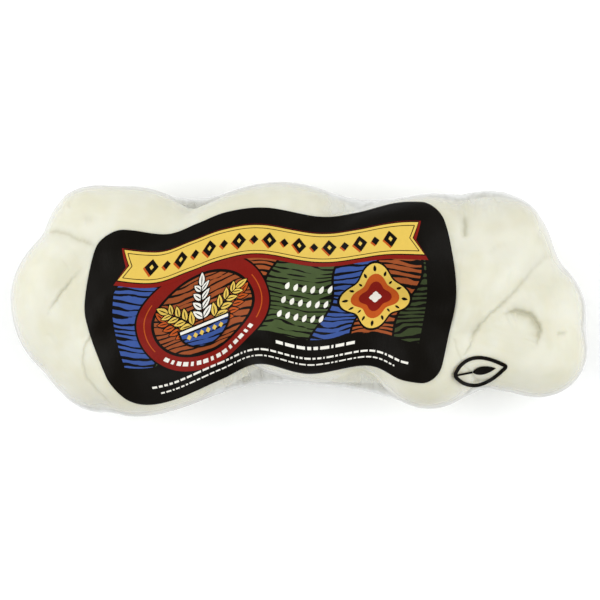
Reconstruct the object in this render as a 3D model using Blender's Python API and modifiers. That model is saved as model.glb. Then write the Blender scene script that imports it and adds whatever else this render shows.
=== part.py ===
"""Braided string cheese, shrunk tight in clear film, with a printed label on its front.

Lengths here are in millimetres and the finished meshes are in metres. +X runs along the pack,
+Y across it towards the upper edge of the label, and +Z out of the label. The pack lies on its
back on a small flat patch at z = 0.
"""

import math

import bpy
import numpy as np

METRES_PER_MM = 0.001
COLLECTION_NAME = "braided_string_cheese"
PACK_NAME = "sealed_pack"
LABEL_NAME = "label"

# The plait lies flat: a pressed strand is this much wider than it is thick.
STRAND_FLATNESS = 1.18
# Height of the plait's middle plane above the patch that the pack rests on.
MIDDLE_HEIGHT = 16.8
# Spacing of the balls that are swept along a strand.
STRAND_STEP = 1.5
# How far a crease between two strands is filled in.
CREASE_FILL = 0.8

# Each strand: x, y, height over the middle plane, half width.
# It rests in the left end, passes over, under and over the others, and ends under the next one.
LOOP_STRAND = (
    (-52.0, 15.0, -5.0, 10.0),
    (-62.0, 12.5, 1.0, 10.5),
    (-69.2, 3.5, 2.0, 11.3),
    (-68.5, -6.0, 1.0, 11.6),
    (-63.5, -13.0, 1.0, 12.5),
    (-57.5, -16.0, 1.5, 12.9),
    (-53.5, -5.0, 5.0, 11.8),
    (-36.0, 8.5, 5.0, 12.0),
    (-11.0, 18.9, 2.5, 12.9),
    (0.0, 18.8, -0.5, 12.8),
    (14.0, 9.5, -5.0, 12.0),
    (34.0, -16.7, 5.0, 12.8),
    (44.0, -14.0, -4.0, 11.5),
    (56.0, -6.0, -9.0, 11.0),
)
OUTER_STRAND = (
    (-60.0, 8.0, -8.0, 10.0),
    (-60.0, 20.0, 0.0, 10.3),
    (-51.0, 21.0, 4.0, 11.0),
    (-41.0, 18.0, 2.0, 12.3),
    (-28.0, 8.0, -3.0, 12.0),
    (-3.0, -9.5, 6.0, 12.0),
    (24.0, -12.0, -8.0, 12.0),
    (39.0, -12.0, -2.0, 12.0),
    (45.5, -2.0, 3.0, 12.6),
    (50.5, 13.4, 3.0, 14.2),
    (58.3, 15.2, 2.0, 13.2),
    (62.0, 4.0, -9.0, 11.0),
)
INNER_STRAND = (
    (-50.0, 8.0, -8.0, 12.0),
    (-48.5, -11.0, 4.5, 12.3),
    (-46.2, -20.0, 4.0, 12.7),
    (-33.0, -18.0, -3.0, 12.0),
    (-17.0, -9.0, -8.0, 12.0),
    (9.0, 9.0, 5.0, 12.0),
    (31.0, 15.4, 8.0, 13.9),
    (44.0, 16.2, 1.0, 13.2),
    (56.0, 10.0, -6.0, 12.0),
    (68.4, -1.5, -1.0, 12.0),
    (69.0, -8.0, 0.0, 12.1),
    (68.0, -14.0, 0.0, 13.0),
    (62.0, -14.3, 1.0, 12.0),
    (56.0, -12.8, 1.0, 12.0),
    (50.0, -9.0, -4.0, 11.0),
)
STRANDS = (LOOP_STRAND, OUTER_STRAND, INNER_STRAND)

# The pack is measured outwards from a spine that joins the middles of its two blunt ends.
SPINE_LEFT = (-67.0, -1.0, 0.0)
SPINE_RIGHT = (68.0, -7.0, 0.0)
CAP_RINGS = 12
BODY_RINGS = 36
RING_POINTS = 48
# The film is worked out on a grid this many times finer than the mesh.
FINENESS = 3
FILM_THICKNESS = 0.2
# The film bridges hollows as a stretched skin does, settling over this many rounds. It is drawn
# into the front and back, and spans the hollows between the bumps along the sides.
FILM_ROUNDS = 400
FRONT_PRESSURE = 0.05
SIDE_PRESSURE = 0.004

# Edges of the label as seen from the front, left to right or bottom to top.
LABEL_TOP = (
    (-53.5, 19.2),
    (-47.0, 19.6),
    (-35.5, 18.6),
    (-29.0, 22.8),
    (-19.4, 25.3),
    (-9.0, 25.9),
    (6.0, 23.2),
    (16.0, 23.9),
    (28.0, 26.4),
    (38.5, 26.0),
)
LABEL_BOTTOM = (
    (-51.5, -25.8),
    (-44.0, -29.4),
    (-34.5, -28.4),
    (-21.0, -21.7),
    (-11.0, -18.0),
    (3.0, -20.8),
    (19.5, -18.4),
    (29.0, -22.6),
    (38.2, -23.1),
)
LABEL_LEFT = (
    (-51.5, -25.8),
    (-57.0, -15.7),
    (-60.4, -2.0),
    (-58.5, 11.5),
    (-53.5, 19.2),
)
LABEL_RIGHT = (
    (38.2, -23.1),
    (42.6, -12.0),
    (44.6, 1.5),
    (43.0, 17.0),
    (38.5, 26.0),
)
LABEL_COLUMNS = 40
LABEL_ROWS = 20
LABEL_GAP = 0.4
LABEL_THICKNESS = 0.3
# Spacing of the height map that the label is laid on.
MAP_STEP = 0.5
MAP_HALF_WIDTH = 31.0

FILM_COLOR = (0.84, 0.82, 0.72, 1.0)
FILM_ROUGHNESS = 0.32
LABEL_COLOR = (0.035, 0.03, 0.03, 1.0)
LABEL_ROUGHNESS = 0.38


def clear_scene():
    """Remove every object that the file opens with."""
    for scene_object in list(bpy.data.objects):
        bpy.data.objects.remove(scene_object, do_unlink=True)


def make_material(name, color, roughness):
    """Return a Principled material of one colour and roughness."""
    material = bpy.data.materials.new(name)
    material.use_nodes = True
    shader = material.node_tree.nodes["Principled BSDF"]
    shader.inputs["Base Color"].default_value = color
    shader.inputs["Roughness"].default_value = roughness
    shader.inputs["Metallic"].default_value = 0.0
    return material


def smooth_route(points, step):
    """Return points about step apart on a Catmull-Rom curve through the given points."""
    stations = np.array(points, dtype=float)
    before = np.vstack([2.0 * stations[0] - stations[1], stations[:-1]])
    after = np.vstack([stations[1:], 2.0 * stations[-1] - stations[-2]])
    tangents = (after - before) / 2.0
    pieces = []
    for index in range(len(stations) - 1):
        start, end = stations[index], stations[index + 1]
        count = max(2, math.ceil(np.linalg.norm(end[:2] - start[:2]) / step))
        along = np.linspace(0.0, 1.0, count, endpoint=False)[:, None]
        pieces.append(
            (2.0 * along**3 - 3.0 * along**2 + 1.0) * start
            + (along**3 - 2.0 * along**2 + along) * tangents[index]
            + (3.0 * along**2 - 2.0 * along**3) * end
            + (along**3 - along**2) * tangents[index + 1]
        )
    pieces.append(stations[-1:])
    return np.vstack(pieces)


def rays():
    """Return the origins and directions of the rays, by ring and point, with height scaled up.

    Rings fan round a quarter turn at each end and stand square to X between the ends.
    """
    cap_angles = np.linspace(0.0, math.pi / 2.0, CAP_RINGS * FINENESS, endpoint=False)
    travel = np.linspace(0.0, 1.0, BODY_RINGS * FINENESS + 1)
    lean = np.concatenate([
        cap_angles,
        np.full(len(travel), math.pi / 2.0),
        math.pi - cap_angles[::-1],
    ])
    travel = np.concatenate([np.zeros(len(cap_angles)), travel, np.ones(len(cap_angles))])
    around = np.arange(RING_POINTS * FINENESS) * 2.0 * math.pi / (RING_POINTS * FINENESS)
    left, right = np.array(SPINE_LEFT), np.array(SPINE_RIGHT)
    origins = left + travel[:, None] * (right - left)
    directions = np.empty((len(lean), len(around), 3))
    directions[..., 0] = -np.cos(lean)[:, None]
    directions[..., 1] = np.sin(lean)[:, None] * np.cos(around)
    directions[..., 2] = np.sin(lean)[:, None] * np.sin(around)
    return origins, directions


def strand_reach(origins, directions, strand):
    """Return how far along each ray the strand's outer side lies, as a sweep of balls."""
    reach = np.zeros(directions.shape[:2])
    for x, y, height, radius in smooth_route(strand, STRAND_STEP):
        offset = np.array([x, y, height * STRAND_FLATNESS]) - origins
        closest = np.einsum("rpi,ri->rp", directions, offset)
        room = closest**2 - np.sum(offset**2, axis=1)[:, None] + radius**2
        hit = closest + np.sqrt(np.maximum(room, 0.0))
        reach = np.where(room > 0.0, np.maximum(reach, hit), reach)
    return reach


def rounded_max(first, second, blend):
    """Return the greater of two values, with the change-over rounded within blend."""
    overlap = np.maximum(blend - np.abs(first - second), 0.0) / blend
    return np.maximum(first, second) + overlap**2 * blend / 4.0


def neighbour_mean(reach):
    """Return the mean of each value's four neighbours; rings close, and each end is one point."""
    padded = np.vstack([np.roll(reach[1], reach.shape[1] // 2), reach,
                        np.roll(reach[-2], reach.shape[1] // 2)])
    around = (np.roll(reach, 1, axis=1) + np.roll(reach, -1, axis=1)) / 2.0
    along = (padded[:-2] + padded[2:]) / 2.0
    mean = (around + along) / 2.0
    mean[0] = reach[1].mean()
    mean[-1] = reach[-2].mean()
    return mean


def film_surface():
    """Return the film's outer surface as rings of points, and the plait's offset from its box.

    The film starts on the strands and each round moves to the mean of its neighbours less a
    little pressure, but never below the strands. The back is then cut flat, and the whole is
    moved so that the middle of its box is at x = 0 and y = 0. The first and last rings are points.
    """
    origins, directions = rays()
    cheese = strand_reach(origins, directions, STRANDS[0])
    for strand in STRANDS[1:]:
        cheese = rounded_max(cheese, strand_reach(origins, directions, strand), CREASE_FILL)
    pressure = SIDE_PRESSURE + (FRONT_PRESSURE - SIDE_PRESSURE) * directions[..., 2] ** 2
    film = cheese.copy()
    for _ in range(FILM_ROUNDS):
        film = np.maximum(cheese, neighbour_mean(film) - pressure)
    film = film + FILM_THICKNESS
    drop = -directions[..., 2] / STRAND_FLATNESS
    to_floor = MIDDLE_HEIGHT / np.maximum(drop, 0.01)
    film = np.minimum(film, to_floor)
    points = origins[:, None, :] + directions * film[..., None]
    points[..., 2] = points[..., 2] / STRAND_FLATNESS + MIDDLE_HEIGHT
    rings = points[::FINENESS, ::FINENESS]
    corners = rings.reshape(-1, 3)
    offset = (corners.min(axis=0) + corners.max(axis=0)) / 2.0
    offset[2] = 0.0
    return rings - offset, offset


def link_mesh(name, vertices, faces, material, collection):
    """Make a smooth-shaded mesh object from points in millimetres."""
    mesh = bpy.data.meshes.new(name)
    mesh.from_pydata((np.asarray(vertices) * METRES_PER_MM).tolist(), [], faces)
    mesh.materials.append(material)
    mesh.shade_smooth()
    mesh_object = bpy.data.objects.new(name, mesh)
    collection.objects.link(mesh_object)
    return mesh_object


def build_pack(surface, collection):
    """Loft the pack through its rings, which run to one point at each end."""
    rings = surface[1:-1]
    ring_count, point_count = rings.shape[:2]
    vertices = np.vstack([surface[0, :1], rings.reshape(-1, 3), surface[-1, :1]])
    last = len(vertices) - 1
    faces = []
    for point in range(point_count):
        following = (point + 1) % point_count
        faces.append((0, 1 + following, 1 + point))
        end_ring = 1 + (ring_count - 1) * point_count
        faces.append((last, end_ring + point, end_ring + following))
        for ring in range(ring_count - 1):
            near = 1 + ring * point_count
            far = near + point_count
            faces.append((near + point, near + following, far + following))
            faces.append((near + point, far + following, far + point))
    material = make_material("sealed_pack", FILM_COLOR, FILM_ROUGHNESS)
    return link_mesh(PACK_NAME, vertices, faces, material, collection)


def height_map(surface):
    """Return x and y stations and the height of the pack's front over them.

    Only the stretch of each ring between its widest points counts, where y has one height.
    """
    front = surface[CAP_RINGS:-CAP_RINGS, : RING_POINTS // 2 + 1]
    across = np.arange(-MAP_HALF_WIDTH, MAP_HALF_WIDTH + MAP_STEP, MAP_STEP)
    heights = []
    for ring in front:
        seen = ring[np.argmax(ring[:, 1]): np.argmin(ring[:, 1]) + 1]
        heights.append(np.interp(across, seen[::-1, 1], seen[::-1, 2]))
    return front[:, 0, 0], across, np.array(heights)


def height_at(front, x, y):
    """Return the height of the pack's front at one place, between its four nearest stations."""
    stations, across, heights = front
    column = min(max(int(np.searchsorted(stations, x)) - 1, 0), len(stations) - 2)
    share = (x - stations[column]) / (stations[column + 1] - stations[column])
    near = np.interp(y, across, heights[column])
    far = np.interp(y, across, heights[column + 1])
    return near + share * (far - near)


def even_points(points, count):
    """Return count + 1 points spaced evenly on a smooth curve through the given points."""
    route = smooth_route(points, MAP_STEP)
    lengths = np.concatenate([[0.0], np.cumsum(np.linalg.norm(np.diff(route, axis=0), axis=1))])
    wanted = np.linspace(0.0, lengths[-1], count + 1)
    return np.column_stack([np.interp(wanted, lengths, route[:, axis]) for axis in range(2)])


def label_grid():
    """Return the label's grid in plan, blended between its four curved edges."""
    top = even_points(LABEL_TOP, LABEL_COLUMNS)
    bottom = even_points(LABEL_BOTTOM, LABEL_COLUMNS)
    left = even_points(LABEL_LEFT, LABEL_ROWS)
    right = even_points(LABEL_RIGHT, LABEL_ROWS)
    along = np.linspace(0.0, 1.0, LABEL_COLUMNS + 1)[:, None, None]
    up = np.linspace(0.0, 1.0, LABEL_ROWS + 1)[None, :, None]
    sides = (1.0 - along) * left[None] + along * right[None]
    ends = (1.0 - up) * bottom[:, None] + up * top[:, None]
    corners = (
        (1.0 - along) * (1.0 - up) * bottom[0]
        + along * (1.0 - up) * bottom[-1]
        + (1.0 - along) * up * top[0]
        + along * up * top[-1]
    )
    return sides + ends - corners


def build_label(surface, offset, collection):
    """Lay the label on the pack's front as an open sheet, thickened away from the pack."""
    front = height_map(surface)
    plan = label_grid() - offset[:2]
    points = np.empty(plan.shape[:2] + (3,))
    for column, row in np.ndindex(plan.shape[:2]):
        x, y = plan[column, row]
        points[column, row] = (x, y, height_at(front, x, y))
    along = np.gradient(points, axis=0)
    across = np.gradient(points, axis=1)
    normals = np.cross(along, across)
    normals /= np.linalg.norm(normals, axis=2, keepdims=True)
    points += normals * LABEL_GAP
    row_size = LABEL_ROWS + 1
    faces = []
    for column in range(LABEL_COLUMNS):
        for row in range(LABEL_ROWS):
            corner = column * row_size + row
            faces.append((corner, corner + row_size, corner + row_size + 1, corner + 1))
    material = make_material("label", LABEL_COLOR, LABEL_ROUGHNESS)
    label = link_mesh(LABEL_NAME, points.reshape(-1, 3), faces, material, collection)
    thicken = label.modifiers.new("thickness", "SOLIDIFY")
    thicken.thickness = LABEL_THICKNESS * METRES_PER_MM
    thicken.offset = 1.0
    return label


def main():
    """Build the sealed pack and its label."""
    clear_scene()
    collection = bpy.data.collections.new(COLLECTION_NAME)
    bpy.context.scene.collection.children.link(collection)
    surface, offset = film_surface()
    build_pack(surface, collection)
    build_label(surface, offset, collection)


main()
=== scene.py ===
"""Looks of the braided string cheese: the plait, the clear film shrunk over it and the label.

Shapes are worked out in millimetres and written to the meshes in metres. +X runs along the pack,
+Y across it towards the label's upper edge, and +Z out of the label.
"""
import logging
import math
from dataclasses import dataclass, field
from enum import Enum
from typing import Callable

import bpy
import numpy as np
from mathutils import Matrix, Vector


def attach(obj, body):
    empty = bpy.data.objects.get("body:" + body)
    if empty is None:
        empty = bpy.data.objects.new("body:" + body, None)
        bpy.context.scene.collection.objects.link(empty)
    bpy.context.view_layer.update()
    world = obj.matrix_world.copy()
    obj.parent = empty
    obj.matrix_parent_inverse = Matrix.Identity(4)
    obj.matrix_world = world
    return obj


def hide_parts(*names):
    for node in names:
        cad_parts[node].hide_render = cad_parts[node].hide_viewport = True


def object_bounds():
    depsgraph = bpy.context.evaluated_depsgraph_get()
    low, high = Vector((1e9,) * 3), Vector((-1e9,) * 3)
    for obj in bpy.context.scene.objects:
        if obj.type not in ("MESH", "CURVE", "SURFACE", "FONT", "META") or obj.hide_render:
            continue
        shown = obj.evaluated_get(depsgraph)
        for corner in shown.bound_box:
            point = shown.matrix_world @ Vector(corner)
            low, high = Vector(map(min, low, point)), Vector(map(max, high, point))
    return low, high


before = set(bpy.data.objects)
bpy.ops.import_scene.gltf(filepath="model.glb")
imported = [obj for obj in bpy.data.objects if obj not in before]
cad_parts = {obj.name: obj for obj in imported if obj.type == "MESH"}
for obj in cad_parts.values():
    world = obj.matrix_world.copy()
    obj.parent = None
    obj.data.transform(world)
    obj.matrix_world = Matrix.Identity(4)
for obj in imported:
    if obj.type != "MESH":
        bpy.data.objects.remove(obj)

CAD_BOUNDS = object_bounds()
log = logging.getLogger("braided_string_cheese")

MM = 0.001
# Spacing of the points on a groove's or a printed line, and half of it with a little overlap.
LINE_STEP = 0.4
LINE_REACH = 0.22
# Spacing of a printed shape's points.
GRID_STEP = 0.7
# Distance from a shape's side that counts as well inside it.
WELL_INSIDE = 9.0
Array = np.ndarray
Color = tuple[float, float, float]
Route = tuple[tuple[float, ...], ...]


class Slot(Enum):
    """The record's material slot names."""

    PACK = "cheese_in_film"
    LABEL = "printed_label"


def srgb(red: int, green: int, blue: int) -> Color:
    """Return the linear colour of three 0 to 255 display values.

    Args:
        red: Red, from 0 to 255.
        green: Green, likewise.
        blue: Blue, likewise.

    Returns:
        Red, green and blue from 0 to 1.
    """
    shares = np.array([red, green, blue]) / 255.0
    linear = np.where(shares <= 0.04045, shares / 12.92, ((shares + 0.055) / 1.055) ** 2.4)
    return tuple(float(value) for value in linear)


# ---------------------------------------------------------------- curves and small formulas


def cubic(t: Array, start: Array, slope: Array, end: Array, end_slope: Array) -> Array:
    """Run from one point to the next along the one cubic that has the given slopes at its ends.

    Args:
        t: Shares of the way along, shaped so that they spread over the points.
        start: Point or points at share 0.
        slope: Slope there, a step of t.
        end: Point or points at share 1.
        end_slope: Slope there.

    Returns:
        The cubic at each share.
    """
    return (
        (2.0 * t**3 - 3.0 * t**2 + 1.0) * start
        + (t**3 - 2.0 * t**2 + t) * slope
        + (3.0 * t**2 - 2.0 * t**3) * end
        + (t**3 - t**2) * end_slope
    )


def smooth_route(points: Route, step: float) -> Array:
    """Return points along a Catmull-Rom curve: a cubic through each pair, with mean slopes.

    Args:
        points: The stations, each with as many values as the curve carries.
        step: The greatest spacing wanted between results, in plan.

    Returns:
        An array with one row for each point.
    """
    stations = np.array(points, dtype=float)
    before = np.vstack([2.0 * stations[0] - stations[1], stations[:-1]])
    after = np.vstack([stations[1:], 2.0 * stations[-1] - stations[-2]])
    slopes = (after - before) / 2.0
    pieces = []
    for start, end, slope, end_slope in zip(stations[:-1], stations[1:], slopes[:-1], slopes[1:]):
        count = max(2, math.ceil(np.linalg.norm(end[:2] - start[:2]) / step))
        t = np.linspace(0.0, 1.0, count, endpoint=False)[:, None]
        pieces.append(cubic(t, start, slope, end, end_slope))
    pieces.append(stations[-1:])
    return np.vstack(pieces)


def even_points(points: Route, count: int, step: float = 0.5) -> Array:
    """Return count points spaced evenly by length on a smooth curve through the given points.

    Args:
        points: Stations of the curve.
        count: How many points are wanted.
        step: Spacing of the curve that they are read from.

    Returns:
        The x and y of each point, one row each.
    """
    route = smooth_route(points, step)
    lengths = np.concatenate([[0.0], np.cumsum(np.linalg.norm(np.diff(route, axis=0), axis=1))])
    wanted = np.linspace(0.0, lengths[-1], count)
    return np.column_stack([np.interp(wanted, lengths, route[:, axis]) for axis in range(2)])


def rounded_max(first: Array, second: Array, blend: float) -> Array:
    """Return the greater of two values, with the change-over rounded within blend."""
    overlap = np.maximum(blend - np.abs(first - second), 0.0) / blend
    return np.maximum(first, second) + overlap**2 * blend / 4.0


def ease(value: Array, low: float, high: float) -> Array:
    """Return 0 below low, 1 above high and a smooth step between."""
    t = np.clip((value - low) / (high - low), 0.0, 1.0)
    return t * t * (3.0 - 2.0 * t)


def unit(vectors: Array) -> Array:
    """Return the vectors scaled to length 1."""
    return vectors / np.maximum(np.linalg.norm(vectors, axis=-1, keepdims=True), 1e-12)


def resampled(values: Array, places: Array, closed: bool) -> Array:
    """Return rows at fractional places, on cubics through the rows with mean slopes.

    Args:
        values: A grid whose first axis is read.
        places: The fractional row numbers wanted.
        closed: Whether the last row is followed by the first.

    Returns:
        A grid with one row for each place.
    """
    base = np.floor(places).astype(int)
    t = (places - base).reshape((-1,) + (1,) * (values.ndim - 1))
    numbers = base[None] + np.array([-1, 0, 1, 2])[:, None]
    count = len(values)
    numbers = numbers % count if closed else np.clip(numbers, 0, count - 1)
    before, start, end, after = values[numbers]
    return cubic(t, start, (end - before) / 2.0, end, (after - start) / 2.0)


def grid_faces(rows: int, columns: int, first: int = 0) -> Array:
    """Return the quads of a grid whose points are numbered row by row from first."""
    corner = (np.arange(rows - 1)[:, None] * columns + np.arange(columns - 1)).ravel() + first
    return np.column_stack([corner, corner + columns, corner + columns + 1, corner + 1])


def grid_normals(points: Array) -> Array:
    """Return unit normals of a grid of points: its row tangent crossed with its column tangent."""
    return unit(np.cross(np.gradient(points, axis=0), np.gradient(points, axis=1)))


# ---------------------------------------------------------------- the plait and its film


@dataclass(frozen=True)
class Groove:
    """A crease or dent pressed into the plait's front, along a curve seen from above."""

    points: Route
    width: float
    depth: float
    fade: float = 0.18
    # How much lower the cheese lies on the right of the line than on its left.
    step: float = 0.0
    wander: float = 0.1

    def line(self) -> Array:
        """Return the groove's middle line, which wanders a little by two sines of its length.

        Returns:
            Places in plan, one row each.
        """
        route = smooth_route(self.points, LINE_STEP)
        count = np.arange(len(route)) * LINE_STEP
        side = unit(np.gradient(route, axis=0))[:, ::-1] * (-1.0, 1.0)
        wave = np.sin(count * 1.25 + self.points[0][0]) + 0.6 * np.sin(count * 2.9)
        return route + side * (self.wander * wave)[:, None]

    def depth_at(self, plan: Array) -> Array:
        """Return how deep the groove is below each place in plan.

        The depth falls off with the distance from the middle line: a sharp part as
        exp(1 - sqrt(1 + near²)), which is rounded at the bottom, and a soft part by a bell curve.
        To the right of the line a step adds to it and dies out over some millimetres. All fade
        towards both ends.

        Args:
            plan: Places in plan, with x and y last.

        Returns:
            A depth in millimetres for each place.
        """
        line = self.line()
        tangents = unit(np.gradient(line, axis=0))
        along = np.linspace(0.0, 1.0, len(line))
        strength = ease(along, -0.02, self.fade) * ease(1.0 - along, -0.02, self.fade)
        nearest = np.full(plan.shape[:-1], 1e6)
        share = np.zeros(plan.shape[:-1])
        side = np.zeros(plan.shape[:-1])
        for place, tangent, power in zip(line, tangents, strength):
            offset = plan - place
            across = offset[..., 0] * tangent[1] - offset[..., 1] * tangent[0]
            along_line = offset[..., 0] * tangent[0] + offset[..., 1] * tangent[1]
            distance = np.hypot(across, np.maximum(np.abs(along_line) - LINE_REACH, 0.0))
            closer = distance < nearest
            nearest = np.where(closer, distance, nearest)
            share = np.where(closer, power, share)
            side = np.where(closer, across, side)
        near = nearest / self.width
        sharp = np.exp(1.0 - np.sqrt(1.0 + (1.5 * near) ** 2))
        cut = 0.75 * sharp + 0.25 * np.exp(-((near / 4.0) ** 2))
        drop = ease(side, -0.3, 0.3) * np.exp(-((nearest / 3.5) ** 2))
        return share * (self.depth * cut + self.step * drop)


class Skin:
    """A closed grid of rings that a reach can be smoothed over and stretched across."""

    def __init__(self, grid: Array) -> None:
        """Measure the gaps between the grid's rings and between the points round them.

        Args:
            grid: Points by ring and place, closed round each ring.
        """
        rings = np.linalg.norm(np.diff(grid, axis=0), axis=-1).mean(axis=1)
        around = np.linalg.norm(np.roll(grid, -1, axis=1) - grid, axis=-1).mean(axis=0)
        before = np.concatenate([rings[:1], rings])[:, None]
        after = np.concatenate([rings, rings[-1:]])[:, None]
        behind = np.roll(around, 1)[None]
        ahead = around[None]
        self.ring_share = after / (before + after)
        self.point_share = ahead / (behind + ahead)
        self.area = (before * after + behind * ahead) / 4.0
        self.half = grid.shape[1] // 2

    def mean(self, reach: Array) -> Array:
        """Return the mean of each point's four neighbours, the nearer ones counting more.

        Args:
            reach: A value for each point.

        Returns:
            The means. An end ring is one point and takes its neighbour ring's mean.
        """
        wide = np.vstack([np.roll(reach[1], self.half), reach, np.roll(reach[-2], self.half)])
        along = self.ring_share * wide[:-2] + (1.0 - self.ring_share) * wide[2:]
        behind = np.roll(reach, 1, axis=1)
        ahead = np.roll(reach, -1, axis=1)
        result = (along + self.point_share * behind + (1.0 - self.point_share) * ahead) / 2.0
        result[0] = reach[1].mean()
        result[-1] = reach[-2].mean()
        return result

    def stretched(self, base: Array, bend: Array, rounds: int) -> Array:
        """Return a skin drawn over a base, which it bridges wherever the base bends in sharper.

        Each round a point moves to its neighbours' mean less a pull, but never below the base.

        Args:
            base: The lowest value allowed at each point.
            bend: How sharply the skin may curve inwards, per millimetre.
            rounds: How many rounds it is drawn tight.

        Returns:
            The skin's value at each point.
        """
        pull = bend * self.area
        skin = base.copy()
        for _ in range(rounds):
            skin = np.maximum(base, self.mean(skin) - pull)
        return skin


@dataclass
class PlaitForm:
    """The plait's three strands, and the surfaces of cheese and film round its spine."""

    # Each strand: x, y, height over the middle plane, half width.
    loop_strand: Route = (
        (-52.0, 15.0, -5.0, 10.0), (-62.0, 12.5, 1.0, 10.5), (-69.2, 3.5, 2.0, 11.3),
        (-68.5, -6.0, 1.0, 11.6), (-62.6, -12.2, 1.0, 12.3), (-55.0, -18.7, 1.5, 13.0),
        (-53.5, -5.0, 5.0, 11.8), (-36.0, 8.5, 5.0, 12.0), (-12.0, 19.2, 2.5, 13.0),
        (3.0, 19.0, -0.5, 12.8), (16.0, 10.5, -5.0, 12.0), (34.0, -16.7, 5.0, 12.8),
        (44.0, -14.0, -4.0, 11.5), (56.0, -6.0, -9.0, 11.0),
    )
    outer_strand: Route = (
        (-60.0, 8.0, -8.0, 10.0), (-60.5, 20.4, 0.0, 10.4), (-51.0, 21.0, 4.0, 11.0),
        (-41.0, 18.0, 2.0, 12.3), (-28.0, 8.0, -3.0, 12.0), (-3.0, -9.5, 6.0, 12.0),
        (24.0, -12.0, -8.0, 12.0), (39.0, -12.0, -2.0, 12.0), (45.5, -2.0, 3.0, 12.6),
        (49.5, 14.8, 3.0, 14.0), (58.3, 15.7, 2.0, 13.0), (62.0, 4.0, -9.0, 11.0),
    )
    inner_strand: Route = (
        (-50.0, 8.0, -8.0, 12.0), (-48.5, -11.0, 4.5, 12.3), (-47.5, -19.9, 4.0, 12.8),
        (-33.0, -18.0, -3.0, 12.0), (-17.0, -9.0, -8.0, 12.0), (9.0, 9.0, 5.0, 12.0),
        (31.0, 15.1, 8.0, 13.5), (44.0, 16.0, 1.0, 13.2), (56.0, 10.0, -6.0, 12.0),
        (68.4, -1.5, -1.0, 12.0), (68.8, -7.8, 0.0, 12.0), (69.1, -15.0, 0.0, 12.2),
        (62.0, -14.3, 1.0, 12.0), (56.0, -12.8, 1.0, 12.0), (50.0, -9.0, -4.0, 11.0),
    )
    # Creases where strands press together, and dents in them.
    grooves: tuple[Groove, ...] = (
        Groove(((-72.5, 20.2), (-66.5, 20.0), (-61.7, 17.9), (-56.0, 15.6)), 0.65, 0.62, 0.15, 0.4),
        Groove(((-59.5, 10.0), (-64.3, 4.9), (-68.0, 0.0), (-71.6, -6.3)), 0.42, 0.95, 0.4, -0.3),
        Groove(((-57.5, -9.0), (-60.3, -15.0), (-59.6, -21.9), (-56.1, -26.6), (-52.0, -31.0)),
               0.5, 0.72, 0.12, -0.4),
        Groove(((73.0, 15.0), (66.8, 10.6), (59.8, 2.1), (54.5, -3.0)), 0.8, 0.82, 0.12, -0.6),
        Groove(((65.0, 8.6), (59.8, 2.1), (51.3, -6.4), (47.9, -12.9), (45.0, -17.6)),
               0.5, 0.9, 0.14, -0.6),
        Groove(((52.6, -4.6), (50.0, -8.4), (47.4, -13.2)), 0.6, 0.95, 0.4),
        Groove(((46.4, 26.0), (46.6, 20.4), (46.2, 16.5)), 0.85, 0.95, 0.3),
        Groove(((45.8, 14.0), (45.1, 8.2), (44.4, -1.0)), 0.5, 0.35, 0.3),
        Groove(((43.0, -10.0), (45.4, -17.3), (49.0, -22.0), (52.7, -26.5)), 0.5, 0.7, 0.1, -0.3),
        Groove(((55.5, -5.6), (58.4, -3.4), (61.6, -2.6), (65.5, -3.9), (67.9, -7.8),
                (67.3, -12.0), (65.0, -15.4)), 0.8, 0.95, 0.35, 0.7, 0.1),
        Groove(((-60.2, 23.0), (-57.6, 23.4)), 1.0, 0.45, 0.3),
        Groove(((72.3, -9.4), (75.6, -9.5)), 0.5, 0.6, 0.3),
        Groove(((70.9, 19.4), (71.6, 16.9), (71.2, 14.2)), 0.4, 0.5, 0.2, 0.3),
        Groove(((50.5, 12.0), (56.0, 15.6), (61.5, 16.6)), 0.8, 0.3, 0.4, 0.2),
        Groove(((-64.7, 28.5), (-64.2, 26.0)), 0.35, 0.5, 0.3),
        Groove(((-69.1, 27.2), (-67.2, 25.2)), 0.35, 0.4, 0.3),
        Groove(((-70.5, 24.6), (-68.6, 23.8)), 0.35, 0.3, 0.3),
        Groove(((-66.5, 12.5), (-64.0, 8.0)), 0.6, 0.3, 0.4),
        Groove(((-71.0, -9.0), (-67.5, -12.6)), 0.7, 0.35, 0.4),
    )
    # Soft darker or lighter patches on the cheese, partly uneven tone and partly painted shade and
    # painted light where the lighting falls differently: x, y, half sizes, turn, amount.
    patches: Route = (
        (54.0, 23.5, 11.0, 4.5, -0.15, 0.55), (55.0, 20.0, 3.2, 2.2, 0.3, 0.5),
        (69.5, 4.0, 6.5, 3.5, -1.0, 0.4), (48.5, 12.5, 3.0, 6.0, 0.1, 0.35),
        (58.5, 6.0, 9.0, 2.6, 0.95, -0.7), (76.0, -8.0, 4.0, 9.0, 0.0, -0.4),
        (63.0, -22.5, 9.0, 3.0, 0.1, 0.5), (36.0, -27.0, 11.0, 4.0, 0.25, 0.7),
        (-58.8, 22.8, 2.6, 1.5, -0.2, 0.8), (-63.0, 7.0, 8.0, 2.4, 0.9, 0.4),
        (-73.0, 8.0, 4.0, 11.0, -0.2, -0.4), (-57.0, -27.0, 12.0, 4.5, -0.7, 0.5),
        (-46.0, 27.5, 10.0, 3.0, 0.0, 0.35), (-52.0, 2.0, 2.6, 4.0, 0.2, 0.4),
        (61.5, -12.5, 4.5, 4.5, 0.0, 0.6), (51.0, 8.5, 4.5, 5.5, 0.0, -0.45),
    )
    strand_flatness: float = 1.18
    middle_height: float = 16.8
    crease_fill: float = 1.5
    ball_step: float = 1.0
    # How far apart the fibre patterns of two strands are read.
    fibre_shift: float = 40.0
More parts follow.
